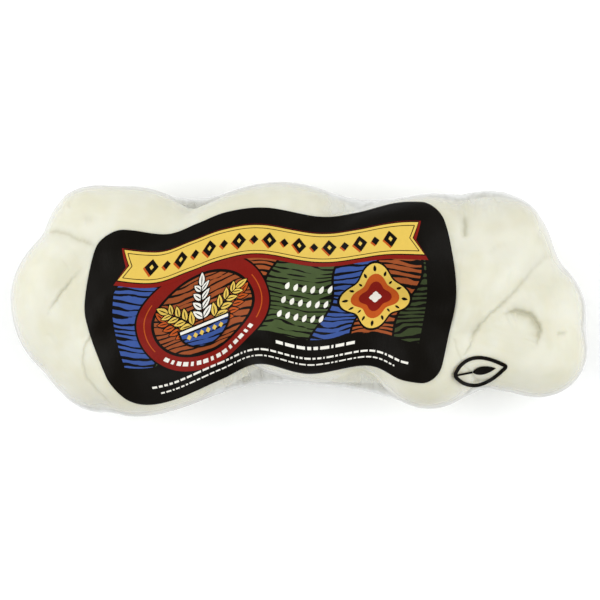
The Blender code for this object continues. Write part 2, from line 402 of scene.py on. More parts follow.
    # The cheese ends this far inside the film along the pack's sides, and farther in at a few
    # places: x, y, how far they spread, extra gap.
    side_slack: float = 0.25
    loose_places: Route = (
        (50.0, 31.0, 13.0, 1.5), (84.0, -6.0, 12.0, 0.9), (-57.0, -32.0, 10.0, 0.8),
        (10.0, 32.0, 16.0, 0.5), (-30.0, 30.0, 8.0, 0.5),
    )
    spine_left: tuple[float, float, float] = (-67.0, -1.0, 0.0)
    spine_right: tuple[float, float, float] = (68.0, -7.0, 0.0)
    cap_rings: int = 40
    body_rings: int = 220
    ring_points: int = 320
    # Rings stand closer at the ends, and ring points on the front, where creases show.
    end_crowding: float = 0.45
    front_crowding: float = 0.38
    # The cheese's own grid: its ring numbers against the ring numbers above.
    cheese_rings: Route = ((0, 0), (60, 40), (118, 82), (176, 199), (277, 260), (335, 300))
    cheese_points: int = 296
    cheese_crowding: float = 0.22
    film_thickness: float = 0.12
    # How far above the floor the cheese keeps, and how many rings it looks to either side for the
    # film's lowest place, within a middle part that ends between two distances along the pack.
    cheese_floor_gap: float = 0.3
    search_rings: int = 2
    middle_part: tuple[float, float] = (44.0, 50.0)
    swell_height: float = 0.16
    ripple_height: float = 0.05
    # Half width and spacing of the map of the film's front.
    front_half_width: float = 31.0
    front_step: float = 0.3
    smoothing_rounds: int = 12
    pressing_rounds: int = 1200
    # How sharply the pressed cheese and the film may curve inwards, per millimetre.
    cheese_bend_front: float = 0.035
    cheese_bend_side: float = 0.16
    film_bend_front: float = 0.3
    film_bend_side: float = 0.0
    film_bend_ends: float = 0.25
    film_bend_below: float = 0.16
    cheese: Array = field(init=False)
    film: Array = field(init=False)
    fibre: Array = field(init=False)
    crease: Array = field(init=False)
    tone: Array = field(init=False)
    slack: Array = field(init=False)
    offset: Array = field(init=False)

    def __post_init__(self) -> None:
        """Work out both surfaces and the values that their finishes follow."""
        rings = np.arange(2.0 * self.cap_rings + self.body_rings + 1.0)
        origins, directions = self.rays(rings, np.arange(float(self.ring_points)))
        strands, fibre = self.plait_reach(origins, directions)
        grid = origins[:, None] + directions * strands[..., None]
        skin = Skin(grid)
        front = ease(directions[..., 2], 0.2, 0.8)
        for _ in range(self.smoothing_rounds):
            strands = skin.mean(strands)
        bend = self.cheese_bend_side + (self.cheese_bend_front - self.cheese_bend_side) * front
        pressed = skin.stretched(strands, bend, self.pressing_rounds)
        pressed = pressed - front * self.unevenness(grid)
        near_ends = ease(np.abs(grid[..., 0]), 50.0, 60.0)
        bend = self.film_bend_side + (self.film_bend_ends - self.film_bend_side) * near_ends
        bend = bend + (self.film_bend_front - bend) * front
        below = ease(-directions[..., 2], 0.45, 0.85)
        bend = bend + (self.film_bend_below - bend) * below
        film = skin.stretched(pressed + self.film_thickness, bend, self.pressing_rounds)
        grid = origins[:, None] + directions * pressed[..., None]
        facing_side = 1.0 - ease(np.abs(directions[..., 2]), 0.15, 0.75)
        cheese = pressed - self.gap(grid) * facing_side
        self.slack = ease(film - cheese, 0.3, 1.7)
        film = np.minimum(film + self.ripple(grid), self.floor_reach(directions))
        self.film = self.place(origins, directions, film)

        # The cheese's rings stand farther apart in the middle than the film's. It keeps below the
        # film's lowest place between them, so that the two never cross.
        reach = self.search_rings
        wide = np.pad(film, ((reach, reach), (0, 0)), mode="edge")
        windows = [wide[start:start + len(film)] for start in range(2 * reach + 1)]
        lowest = np.min(windows, axis=0)
        middle = 1.0 - ease(np.abs(grid[..., 0]), *self.middle_part)
        film = film + (lowest - film) * middle
        rings, points = self.cheese_places()
        pressed, cheese, film, self.fibre = (
            resampled(resampled(values, rings, False).swapaxes(0, 1), points, True).swapaxes(0, 1)
            for values in (pressed, cheese, film, fibre))
        origins, directions = self.rays(rings, points)
        grid = origins[:, None] + directions * pressed[..., None]
        self.tone = self.tone_and_light_patches(grid, directions)
        cheese = self.creased(cheese, grid, directions)
        raised = 1.0 - self.cheese_floor_gap / self.middle_height
        lowest = self.floor_reach(directions) * raised
        cheese = np.minimum(np.minimum(cheese, lowest), film - self.film_thickness)
        self.cheese = self.place(origins, directions, cheese)
        corners = self.film.reshape(-1, 3)
        self.offset = (corners.min(axis=0) + corners.max(axis=0)) / 2.0
        self.offset[2] = 0.0
        self.film -= self.offset
        self.cheese -= self.offset

    def rays(self, rings: Array, points: Array) -> tuple[Array, Array]:
        """Return ray origins by ring and directions by ring and point, with height scaled up.

        Rings fan round a quarter turn at each end of the spine and stand square to X between.
        A sine crowds the rings towards the ends, and a cosine crowds each ring's points in front.

        Args:
            rings: Ring numbers, which may be fractions.
            points: Numbers of the places round a ring, which may be fractions.

        Returns:
            The origins and the unit directions.
        """
        share = np.clip((rings - self.cap_rings) / self.body_rings, 0.0, 1.0)
        travel = share - self.end_crowding * np.sin(2.0 * math.pi * share) / (2.0 * math.pi)
        far = (rings - self.cap_rings - self.body_rings) / self.cap_rings
        lean = math.pi / 2.0 * (np.clip(rings / self.cap_rings, 0.0, 1.0) + np.clip(far, 0.0, 1.0))
        turn = points * 2.0 * math.pi / self.ring_points
        around = turn + self.front_crowding * np.cos(turn)
        left, right = np.array(self.spine_left), np.array(self.spine_right)
        origins = left + travel[:, None] * (right - left)
        directions = np.stack([
            np.broadcast_to(-np.cos(lean)[:, None], (len(lean), len(around))),
            np.sin(lean)[:, None] * np.cos(around),
            np.sin(lean)[:, None] * np.sin(around),
        ], axis=-1)
        return origins, directions

    def cheese_places(self) -> tuple[Array, Array]:
        """Return the ring and point numbers of the cheese's own grid.

        It is finer at the pack's bare ends and in front, where creases show, than elsewhere.

        Returns:
            Ring numbers and point numbers, which may be fractions.
        """
        knots = np.array(self.cheese_rings)
        rings = np.interp(np.arange(knots[-1, 0] + 1.0), knots[:, 0], knots[:, 1])
        turn = np.arange(self.cheese_points) * 2.0 * math.pi / self.cheese_points
        turn = turn + self.cheese_crowding * np.cos(turn)
        return rings, turn * self.ring_points / (2.0 * math.pi)

    def plait_reach(self, origins: Array, directions: Array) -> tuple[Array, Array]:
        """Return how far the plait lies along each ray, and each hit's place on its strand.

        A strand is a sweep of balls. A ray leaves a ball at b + sqrt(b² - d² + r²), where b is
        the ball's centre measured along the ray and d its distance from the ray's origin. The
        farthest exit counts, and strands meet in a rounded maximum.

        Args:
            origins: Ray origins by ring.
            directions: Unit ray directions by ring and point.

        Returns:
            The reach, and for each ray (length along the strand, arc round it, the shift of the
            strand's fibre pattern).
        """
        total = np.zeros(directions.shape[:2])
        best = np.zeros(directions.shape[:2])
        fibre = np.zeros(directions.shape)
        for number, strand in enumerate((self.loop_strand, self.outer_strand, self.inner_strand)):
            route = smooth_route(strand, self.ball_step)
            centres = route[:, :3] * (1.0, 1.0, self.strand_flatness)
            steps = np.linalg.norm(np.diff(centres, axis=0), axis=1)
            lengths = np.concatenate([[0.0], np.cumsum(steps)])
            tangents = unit(np.gradient(centres, axis=0))
            reach = np.zeros(directions.shape[:2])
            owner = np.zeros(directions.shape[:2], dtype=int)
            for index, (centre, radius) in enumerate(zip(centres, route[:, 3])):
                offset = centre - origins
                middle = np.einsum("rpi,ri->rp", directions, offset)
                room = middle**2 - np.sum(offset**2, axis=1)[:, None] + radius**2
                leave = np.where(room > 0.0, middle + np.sqrt(np.maximum(room, 0.0)), 0.0)
                nearer = leave > reach
                reach = np.where(nearer, leave, reach)
                owner = np.where(nearer, index, owner)
            hit = origins[:, None] + directions * reach[..., None] - centres[owner]
            tangent = tangents[owner]
            side = unit(np.cross(tangent, (0.0, 0.0, 1.0)))
            upward = np.cross(side, tangent)
            arc = np.arctan2(np.sum(hit * side, -1), np.sum(hit * upward, -1)) * route[owner, 3]
            along = lengths[owner] + np.sum(hit * tangent, axis=-1)
            place = np.stack([along, arc, np.full(arc.shape, self.fibre_shift * number)], axis=-1)
            fibre = np.where((reach > best)[..., None], place, fibre)
            best = np.maximum(best, reach)
            total = rounded_max(total, reach, self.crease_fill)
        return total, fibre

    def creased(self, reach: Array, grid: Array, directions: Array) -> Array:
        """Return the pressed plait's reach with its creases and dents cut into the front.

        It also leaves the crease share of each point in self.crease, which the cheese's finish
        paints as shade.

        Args:
            reach: The cheese's distance along each ray before this.
            grid: The points at which creases are looked up.
            directions: Unit ray directions by ring and point.

        Returns:
            The distance along each ray with the creases cut in.
        """
        depth = np.zeros(reach.shape)
        for groove in self.grooves:
            depth = np.maximum(depth, groove.depth_at(grid[..., :2]))
        depth = depth * ease(directions[..., 2], 0.05, 0.3)
        self.crease = np.clip(depth, 0.0, 1.0)
        return reach - depth

    def tone_and_light_patches(self, grid: Array, directions: Array) -> Array:
        """Return how much darker the cheese is at each point on the front: bell-shaped patches of
        painted shade and painted light, partly the cheese's uneven tone.

        Args:
            grid: Points by ring and place round it.
            directions: Unit ray directions by ring and point.

        Returns:
            A value for each point, below 0 where the cheese is lighter.
        """
        tone = np.zeros(grid.shape[:2])
        for x, y, length, width, turn, amount in self.patches:
            east, north = grid[..., 0] - x, grid[..., 1] - y
            along = (east * math.cos(turn) + north * math.sin(turn)) / length
            across = (north * math.cos(turn) - east * math.sin(turn)) / width
            tone = tone + amount * np.exp(-(along**2 + across**2) ** 1.5)
        return tone * ease(directions[..., 2], 0.0, 0.4)

    def floor_reach(self, directions: Array) -> Array:
        """Return how far each ray goes before it meets the floor."""
        return self.middle_height * self.strand_flatness / np.maximum(-directions[..., 2], 0.01)

    def gap(self, grid: Array) -> Array:
        """Return the gap between cheese and film at the sides, wider round each loose place.

        Args:
            grid: Points by ring and place round it.

        Returns:
            A gap in millimetres for each point.
        """
        gap = np.full(grid.shape[:2], self.side_slack)
        for x, y, spread, extra in self.loose_places:
            square = (grid[..., 0] - x) ** 2 + (grid[..., 1] - y) ** 2
            gap = gap + extra * np.exp(-square / spread**2)
        return gap

    def unevenness(self, grid: Array) -> Array:
        """Return soft swells that the pressing leaves: sines in several slanted directions.

        Args:
            grid: Points by ring and place round it.

        Returns:
            How far the surface sinks at each point, in millimetres. Below 0 it rises.
        """
        x, y = grid[..., 0], grid[..., 1]
        swell = np.sin(0.41 * x + 0.23 * y + 1.0) * np.sin(0.19 * x - 0.44 * y + 0.4)
        swell = swell + 0.5 * np.sin(0.83 * x - 0.31 * y) * np.sin(0.36 * x + 0.77 * y + 2.0)
        return self.swell_height * swell

    def front_map(self) -> "FrontMap":
        """Return the heights of the film's front over the rings that stand square to X."""
        rings = self.film[self.cap_rings:-self.cap_rings, : self.ring_points // 2 + 1]
        return FrontMap.over(rings, self.front_half_width, self.front_step)

    def ripple(self, grid: Array) -> Array:
        """Return small wrinkles where the film hangs free: slanted sines scaled by its slack.

        Args:
            grid: Points by ring and place round it.

        Returns:
            How far the film moves out at each point, in millimetres.
        """
        x, y, z = grid[..., 0], grid[..., 1], grid[..., 2]
        waves = np.sin(x * 1.3 + 1.4 * np.sin(y * 0.21) + z * 0.35)
        waves = waves + 0.6 * np.sin(x * 2.3 - y * 0.5 + z * 0.7)
        return self.ripple_height * self.slack * waves

    def place(self, origins: Array, directions: Array, reach: Array) -> Array:
        """Return the points that a reach gives, with height back at its real scale.

        Args:
            origins: Ray origins by ring.
            directions: Unit ray directions by ring and point.
            reach: Distances along the rays.

        Returns:
            Points in millimetres, by ring and place round it.
        """
        points = origins[:, None] + directions * reach[..., None]
        points[..., 2] = points[..., 2] / self.strand_flatness + self.middle_height
        return points


def closed_body(name: str, rings: Array, attributes: dict[str, Array]) -> bpy.types.Object:
    """Make a closed body from rings of points whose first and last rings are single points.

    Args:
        name: The piece's name.
        rings: Points in millimetres, by ring and place round it.
        attributes: Values for each point, either single or three together.

    Returns:
        The smooth-shaded object.
    """
    count, around = rings.shape[:2]
    inner = rings[1:-1].reshape(-1, 3)
    vertices = np.vstack([rings[:1, 0], inner, rings[-1:, 0]])
    start = 1 + np.arange(count - 3)[:, None] * around
    place = np.arange(around)
    following = (place + 1) % around
    quads = np.stack([start + place, start + following, start + around + following,
                      start + around + place], axis=-1).reshape(-1, 4)
    last = len(vertices) - 1
    end = 1 + (count - 3) * around
    near = np.column_stack([np.zeros(around, int), 1 + following, 1 + place])
    far = np.column_stack([np.full(around, last), end + place, end + following])
    faces = near.tolist() + quads.tolist() + far.tolist()
    values = {
        key: np.concatenate([value[:1, 0], value[1:-1].reshape(-1, *value.shape[2:]),
                             value[-1:, 0]])
        for key, value in attributes.items()
    }
    return mesh_piece(name, vertices, faces, values)


def mesh_piece(name: str, vertices: Array, faces: list, values: dict[str, Array]
               ) -> bpy.types.Object:
    """Make a smooth-shaded object at the origin from points in millimetres, with attributes.

    Args:
        name: The piece's name.
        vertices: Points in millimetres.
        faces: The numbers of each face's points.
        values: Values for each point, single or three together, by attribute.

    Returns:
        The object, linked to the scene.
    """
    mesh = bpy.data.meshes.new(name)
    mesh.from_pydata((vertices * MM).tolist(), [], faces)
    for key, value in values.items():
        kind, slot = ("FLOAT_VECTOR", "vector") if value.ndim == 2 else ("FLOAT", "value")
        layer = mesh.attributes.new(key, kind, "POINT")
        layer.data.foreach_set(slot, value.astype(np.float32).ravel())
    mesh.shade_smooth()
    piece = bpy.data.objects.new(name, mesh)
    bpy.context.scene.collection.objects.link(piece)
    return piece


# ---------------------------------------------------------------- node groups and finishes


class Sheet:
    """A node tree that is filled by name."""

    def __init__(self, tree: bpy.types.NodeTree) -> None:
        """Start on an empty tree."""
        self.tree = tree
        tree.nodes.clear()

    def add(self, kind: str, settings: dict | None = None, **inputs: object) -> bpy.types.Node:
        """Add a node, set its properties, and set or link its inputs.

        Args:
            kind: The node's type without its ShaderNode or Node start.
            settings: Properties of the node.
            **inputs: Values or output sockets; a name's underscores stand for spaces, and
                i0, i1 and so on number the sockets.

        Returns:
            The node.
        """
        full = kind if kind.startswith("Node") else "ShaderNode" + kind
        node = self.tree.nodes.new(full)
        for key, value in (settings or {}).items():
            setattr(node, key, value)
        for key, value in inputs.items():
            is_index = key[0] == "i" and key[1:].isdigit()
            self.feed(node.inputs[int(key[1:]) if is_index else key.replace("_", " ")], value)
        return node

    def feed(self, socket: bpy.types.NodeSocket, value: object) -> None:
        """Link another node's output to an input, or set the input to a value.

        Args:
            socket: Input socket.
            value: Output socket of another node, or a plain value.
        """
        if isinstance(value, bpy.types.NodeSocket):
            self.tree.links.new(value, socket)
        else:
            socket.default_value = value

    def math(self, operation: str, first: object, second: object = 0.0,
             clamp: bool = False) -> bpy.types.NodeSocket:
        """Add a Math node and return its output."""
        node = self.add("Math", {"operation": operation, "use_clamp": clamp}, i0=first, i1=second)
        return node.outputs[0]

    def spread(self, value: object, low: float, high: float) -> bpy.types.NodeSocket:
        """Return a value's place between low and high as 0 to 1, smoothly.

        Args:
            value: Number or output socket.
            low: The value that gives 0.
            high: The value that gives 1.

        Returns:
            The output socket.
        """
        node = self.add("MapRange", {"interpolation_type": "SMOOTHSTEP"},
                        Value=value, From_Min=low, From_Max=high)
        return node.outputs["Result"]

    def mix(self, share: object, first: object, second: object) -> bpy.types.NodeSocket:
        """Return two colours mixed by share.

        Args:
            share: How much of the second, from 0 to 1, as number or socket.
            first: Colour or output socket.
            second: Colour or output socket.

        Returns:
            The output socket.
        """
        first, second = ((*color, 1.0) if isinstance(color, tuple) else color
                         for color in (first, second))
        node = self.add("Mix", {"data_type": "RGBA"}, i0=share, i6=first, i7=second)
        return node.outputs[2]

    def attribute(self, name: str, output: str) -> bpy.types.NodeSocket:
        """Return a socket of a mesh attribute.

        Args:
            name: The attribute's name.
            output: Fac for a single value, Vector for three.

        Returns:
            The output socket.
        """
        node = self.add("Attribute")
        node.attribute_name = name
        return node.outputs[output]

    def stretched(self, vector: object, scale: tuple[float, float, float],
                  turn: float = 0.0) -> bpy.types.NodeSocket:
        """Return coordinates scaled by axis and turned about the third."""
        node = self.add("Mapping", Vector=vector, Scale=scale, Rotation=(0.0, 0.0, turn))
        return node.outputs[0]

    def noise(self, vector: object, scale: float, detail: float = 3.0,
              roughness: float = 0.5, distortion: float = 0.0) -> bpy.types.NodeSocket:
        """Return a noise value from 0 to 1.

        Args:
            vector: Coordinates, as an output socket.
            scale: How many swells there are to a unit.
            detail: How many finer layers are added.
            roughness: How strongly the finer layers count.
            distortion: How far the pattern is warped.

        Returns:
            The output socket.
        """
        node = self.add("TexNoise", Vector=vector, Scale=scale, Detail=detail,
                        Roughness=roughness, Distortion=distortion)
        return node.outputs["Fac"]


def new_group(name: str, inputs: dict[str, tuple[str, object]], output: str
              ) -> tuple[bpy.types.NodeTree, Sheet, bpy.types.Node]:
    """Start a shader node group with named inputs and one value output.

    Args:
        name: The group's name.
        inputs: Socket type and default for each input.
        output: The output's name.

    Returns:
        The group, its sheet and its input node.
    """
    tree = bpy.data.node_groups.new(name, "ShaderNodeTree")
    for key, (kind, default) in inputs.items():
        socket = tree.interface.new_socket(key, in_out="INPUT", socket_type=kind)
        if default is not None:
            socket.default_value = default
    tree.interface.new_socket(output, in_out="OUTPUT", socket_type="NodeSocketFloat")
    sheet = Sheet(tree)
    return tree, sheet, sheet.add("NodeGroupInput")


def streaks_group() -> bpy.types.NodeTree:
    """Build carved streaks: noise stretched along the first axis, cut to thin tapering lines.

    Returns:
        The node group.
    """
    tree, sheet, given = new_group("carved_streaks", {
        "Vector": ("NodeSocketVector", None),
        "Spacing": ("NodeSocketFloat", 1.5),
        "Share": ("NodeSocketFloat", 0.4),
    }, "Mask")
    place = sheet.add("SeparateXYZ", Vector=given.outputs["Vector"])
    wander = sheet.noise(sheet.stretched(given.outputs["Vector"], (0.05, 0.12, 1.0)), 1.0, 2.0)
    shifted = sheet.math("ADD", place.outputs[1], sheet.math("MULTIPLY", wander, 7.0))
    lines = sheet.math("SINE", sheet.math("MULTIPLY", sheet.math(
        "DIVIDE", shifted, given.outputs["Spacing"]), 2.0 * math.pi))
    width = sheet.noise(sheet.stretched(given.outputs["Vector"], (0.22, 0.75, 1.0)), 1.0, 2.0)
    cut = sheet.math("SUBTRACT", sheet.math("MULTIPLY", width, 2.6),
                     sheet.math("MULTIPLY", given.outputs["Share"], 2.0))
    mask = sheet.spread(sheet.math("SUBTRACT", lines, cut), 0.05, 0.35)
    sheet.add("NodeGroupOutput", i0=mask)
    return tree


def mottle_group() -> bpy.types.NodeTree:
    """Build a soft mottle: two sizes of noise round 1, swinging by Amount.

    Returns:
        The node group.
    """
    tree, sheet, given = new_group("soft_mottle", {
        "Vector": ("NodeSocketVector", None),
        "Scale": ("NodeSocketFloat", 1.0),
        "Amount": ("NodeSocketFloat", 0.1),
    }, "Value")
    broad = sheet.add("TexNoise", Vector=given.outputs["Vector"], Scale=given.outputs["Scale"],
                      Detail=4.0)
    fine = sheet.add("TexNoise", Vector=given.outputs["Vector"], Detail=2.0,
                     Scale=sheet.math("MULTIPLY", given.outputs["Scale"], 7.0))
    both = sheet.math("ADD", sheet.math("MULTIPLY", broad.outputs["Fac"], 0.7),
                      sheet.math("MULTIPLY", fine.outputs["Fac"], 0.3))
    swing = sheet.math("MULTIPLY", sheet.math("SUBTRACT", both, 0.5), given.outputs["Amount"])
    sheet.add("NodeGroupOutput", i0=sheet.math("ADD", swing, 1.0))
    return tree


def crinkle_group() -> bpy.types.NodeTree:
    """Build the film's fine crinkle: ridged noise, long in one direction, over a soft swell.

    Returns:
        The node group.
    """
    tree, sheet, given = new_group("film_crinkle", {
        "Vector": ("NodeSocketVector", None),
        "Size": ("NodeSocketFloat", 1.0),
    }, "Height")
    scaled = sheet.add("VectorMath", {"operation": "DIVIDE"}, i0=given.outputs["Vector"],
                       i1=given.outputs["Size"])
    swell = sheet.noise(scaled.outputs[0], 0.12, 2.0)
    drawn_out = sheet.stretched(scaled.outputs[0], (0.5, 0.14, 0.3), 0.6)
    ridge = sheet.noise(drawn_out, 1.0, 3.0, 0.6, 0.8)
    folded = sheet.math("ABSOLUTE", sheet.math("SUBTRACT", ridge, 0.5))
    height = sheet.math("ADD", swell, sheet.math("MULTIPLY", sheet.spread(folded, 0.0, 0.07), 0.35))
    sheet.add("NodeGroupOutput", i0=height)
    return tree


@dataclass(frozen=True)
class Effects:
    """The node groups that several finishes share."""

    streaks: bpy.types.NodeTree
    mottle: bpy.types.NodeTree
    crinkle: bpy.types.NodeTree

    @staticmethod
    def build() -> "Effects":
        """Build each group once."""
        return Effects(streaks_group(), mottle_group(), crinkle_group())


def start_material(name: str) -> tuple[bpy.types.Material, Sheet]:
    """Return a new node material and its empty sheet.

    Args:
        name: The material's name.

    Returns:
        The material and the sheet of its nodes.
    """
    material = bpy.data.materials.new(name)
    material.use_nodes = True
    return material, Sheet(material.node_tree)


def millimetres(sheet: Sheet) -> bpy.types.NodeSocket:
    """Return Object coordinates in millimetres."""
    coordinates = sheet.add("TexCoord").outputs["Object"]
    return sheet.stretched(coordinates, (1000.0, 1000.0, 1000.0))


def group_node(sheet: Sheet, tree: bpy.types.NodeTree, **inputs: object) -> bpy.types.NodeSocket:
    """Place a node group, set its inputs and return its output."""
    return sheet.add("Group", {"node_tree": tree}, **inputs).outputs[0]


@dataclass(frozen=True)
class CheeseFinish:
    """Soft white cheese: faint fibres along each strand, painted shade in the creases, and soft
    patches of uneven tone with painted shade and light.
    """

    light: Color = srgb(221, 219, 202)
    warm: Color = srgb(216, 213, 191)
    # The next two colours are partly the cheese's uneven tone and partly painted shade and painted
    # light.
    deep: Color = srgb(209, 206, 186)
    lighter_tone_and_painted_light: Color = srgb(232, 231, 217)
    # Painted shade laid along the creases.
    crease: Color = srgb(188, 184, 158)
    fibre_height: float = 0.05
    roughness: float = 0.5

    def material(self, effects: Effects) -> bpy.types.Material:
        """Return the cheese's material.

        Args:
            effects: The node groups that several finishes share.

        Returns:
            The material.
        """
        material, sheet = start_material("soft_white_cheese")
        space = millimetres(sheet)
        fibre = sheet.attribute("fibre", "Vector")
        strands = sheet.noise(sheet.stretched(fibre, (0.035, 0.7, 1.0)), 1.0, 3.0, 0.5)
        clouds = sheet.noise(space, 0.085, 2.0)
        shade = sheet.math("ADD", sheet.math("MULTIPLY", clouds, 0.88),
                           sheet.math("MULTIPLY", strands, 0.12))
        color = sheet.mix(sheet.spread(shade, 0.4, 0.6), self.light, self.warm)
        # Painted shade and painted light from the patches, with a random tone noise added.
        tone = sheet.math("ADD", sheet.attribute("tone", "Fac"), sheet.math(
            "MULTIPLY", sheet.math("SUBTRACT", sheet.noise(space, 0.3, 2.0), 0.5), 0.5))
        color = sheet.mix(sheet.math("MULTIPLY", tone, 0.8, True), color, self.deep)
        color = sheet.mix(sheet.math("MULTIPLY", tone, -0.8, True), color, self.lighter_tone_and_painted_light)
        # Painted shade in the creases, strongest along their middles.
        depth = sheet.math("POWER", sheet.attribute("crease", "Fac"), 2.0)
        color = sheet.mix(sheet.math("MULTIPLY", depth, 0.9), color, self.crease)
        height = sheet.math("ADD", strands, group_node(
            sheet, effects.mottle, Vector=space, Scale=0.35, Amount=0.8))
        bump = sheet.add("Bump", Height=height, Strength=0.6, Distance=self.fibre_height * MM)
        shader = sheet.add("BsdfPrincipled", Base_Color=color, Roughness=self.roughness,
                           Normal=bump.outputs[0], Subsurface_Weight=0.45,
                           Subsurface_Radius=(1.0, 0.82, 0.55), Subsurface_Scale=3.0 * MM,
                           IOR=1.38)
        sheet.add("OutputMaterial", Surface=shader.outputs[0])
        return material


@dataclass(frozen=True)
class FilmFinish:
    """Clear shrink film: glossy, all but invisible face on, and grey where it turns away."""

    haze: Color = srgb(212, 211, 208)
    # Darker grey where the film hangs loose: partly its milkier folds, partly painted shade.
    loose_haze_and_shade: Color = srgb(207, 207, 202)
    roughness: float = 0.16
    specular: float = 0.3

    def material(self, effects: Effects) -> bpy.types.Material:
        """Return the film's material.

        Args:
            effects: The node groups that several finishes share.

        Returns:
            The material.
        """
        material, sheet = start_material("clear_film")
        space = millimetres(sheet)
        height = group_node(sheet, effects.crinkle, Vector=space, Size=1.0)
        bump = sheet.add("Bump", Height=height, Strength=0.35, Distance=0.12 * MM)
        glare = sheet.add("Fresnel", IOR=1.45)
        facing = sheet.add("LayerWeight", Blend=0.5)
        turned = sheet.spread(facing.outputs["Facing"], 0.25, 0.8)
        hanging = sheet.attribute("slack", "Fac")
        folds = sheet.noise(sheet.stretched(space, (0.35, 0.1, 0.1)), 1.0, 2.0)
        folded = sheet.math("MULTIPLY", hanging, sheet.spread(folds, 0.1, 0.7))
        milky = sheet.math("ADD", sheet.math("MULTIPLY", turned, 0.6),
                           sheet.math("MULTIPLY", folded, 0.5))
        share = sheet.math("ADD", sheet.math("MULTIPLY", glare.outputs[0], 0.5), milky, True)
        # Loose folds take the darker grey, which is partly painted shade.
        color = sheet.mix(folded, self.haze, self.loose_haze_and_shade)
        # Soft light passes through the film almost unchanged, so its folds throw no dark shade.
        rays = sheet.add("LightPath")
        passing = sheet.math("MAXIMUM", rays.outputs["Is Shadow Ray"],
                             rays.outputs["Is Diffuse Ray"])
        share = sheet.math("MULTIPLY", share, sheet.math(
            "SUBTRACT", 1.0, sheet.math("MULTIPLY", passing, 0.85)))
        gloss = sheet.add("BsdfPrincipled", Base_Color=color,
                          Roughness=self.roughness, Normal=bump.outputs[0], IOR=1.5,
                          Specular_IOR_Level=self.specular)
        clear = sheet.add("BsdfTransparent", Color=(0.985, 0.985, 0.985, 1.0))
        both = sheet.add("MixShader", i0=share, i1=clear.outputs[0], i2=gloss.outputs[0])
        sheet.add("OutputMaterial", Surface=both.outputs[0])
        return material


@dataclass(frozen=True)
class InkFinish:
    """A printed colour, with carved dark streaks or a plain mottle, on the crinkled label."""

    name: str
    color: Color
    streak_share: float = 0.0
    streak_spacing: float = 2.4
    streak_turn: float = 0.0
    mottle: float = 0.12
    roughness: float = 0.4
    specular: float = 0.06
    dark: Color = srgb(14, 11, 8)

    def material(self, effects: Effects) -> bpy.types.Material:
        """Return the ink's material.

        Args:
            effects: The node groups that several finishes share.

        Returns:
            The material.
        """
        material, sheet = start_material(self.name)
        print_place = sheet.attribute("print_mm", "Vector")
        wash = group_node(sheet, effects.mottle, Vector=print_place, Scale=0.45,
                          Amount=self.mottle * 4.0)
        color = sheet.mix(sheet.spread(wash, 0.75, 1.25),
                          tuple(value * (1.0 - self.mottle) for value in self.color),
                          tuple(value * (1.0 + self.mottle) for value in self.color))
        if self.streak_share > 0.0:
            parts = sheet.add("SeparateXYZ", Vector=print_place)
            flat = sheet.add("CombineXYZ", X=parts.outputs[0], Y=parts.outputs[1])
            turned = sheet.stretched(flat.outputs[0], (1.0, 1.0, 1.0), self.streak_turn)
            # Cuts widen towards a field's sides, where the third value falls to nothing.
            inner = sheet.spread(parts.outputs[2], 0.0, 4.5)
            share = sheet.math("SUBTRACT", self.streak_share + 0.28,
                               sheet.math("MULTIPLY", inner, 0.28))
            cuts = group_node(sheet, effects.streaks, Vector=turned,
                              Spacing=self.streak_spacing, Share=share)
            color = sheet.mix(cuts, color, self.dark)
        height = group_node(sheet, effects.crinkle, Vector=millimetres(sheet), Size=0.8)
        bump = sheet.add("Bump", Height=height, Strength=0.35, Distance=0.1 * MM)
        shader = sheet.add("BsdfPrincipled", Base_Color=color, Roughness=self.roughness,
                           Normal=bump.outputs[0], Specular_IOR_Level=self.specular)
        sheet.add("OutputMaterial", Surface=shader.outputs[0])
        return material


class Ink(Enum):
    """The label's printed colours."""

    BLACK = InkFinish("ink_black", srgb(12, 9, 5), mottle=0.1)
    YELLOW = InkFinish("ink_yellow", srgb(212, 180, 82), mottle=0.07)
    ORANGE = InkFinish("ink_orange", srgb(176, 78, 26), mottle=0.12)
    BLUE = InkFinish("ink_blue", srgb(56, 80, 140), 0.42, 1.7, 0.12)
    GREEN = InkFinish("ink_green", srgb(66, 80, 46), 0.34, 1.5, -0.06)
    OLIVE = InkFinish("ink_olive", srgb(52, 62, 36), 0.5, 1.4, -0.2)
    RUST = InkFinish("ink_rust", srgb(146, 74, 38), 0.46, 1.6)
    RED = InkFinish("ink_dark_red", srgb(122, 24, 16), mottle=0.1)
    CREAM = InkFinish("ink_cream", srgb(226, 223, 212), mottle=0.05)


# ---------------------------------------------------------------- shapes of the print


@dataclass(frozen=True)
class Patch:
    """A printed shape: places on the flat print as a function of two shares, on a grid.

    The second share runs to the left of the first, so that faces look out of the label.
    """

    place: Callable[[Array, Array], tuple[Array, Array]]
    rows: int
    columns: int

    def grid(self) -> Array:
        """Return the places of the patch, by row and column, as (along, up) in millimetres.

        Returns:
            An array of rows by columns by two.
        """
        first, second = np.meshgrid(np.linspace(0.0, 1.0, self.rows),
                                    np.linspace(0.0, 1.0, self.columns), indexing="ij")
        along, up = self.place(first, second)
        return np.stack([along + 0.0 * first, up + 0.0 * first], axis=-1)


def field_patch(left: Callable[[Array], Array], right: Callable[[Array], Array], low: float,
                high: float, spacing: float = GRID_STEP) -> Patch:
    """Return a field between two side curves: straight across, from low to high.

    Args:
        left: Gives the left side for each height.
        right: Gives the right side for each height.
        low: The field's foot.
        high: Its top.
        spacing: Spacing of its points.

    Returns:
        The shape.
    """
    rows = 2 + int((right(np.array(low)) - left(np.array(low))) / spacing)
    columns = 2 + int((high - low) / spacing)

    def place(first: Array, second: Array) -> tuple[Array, Array]:
        """Go across from side to side, and up from foot to top."""
        up = low + (high - low) * second
        return left(up) + (right(up) - left(up)) * first, up

    return Patch(place, rows, columns)


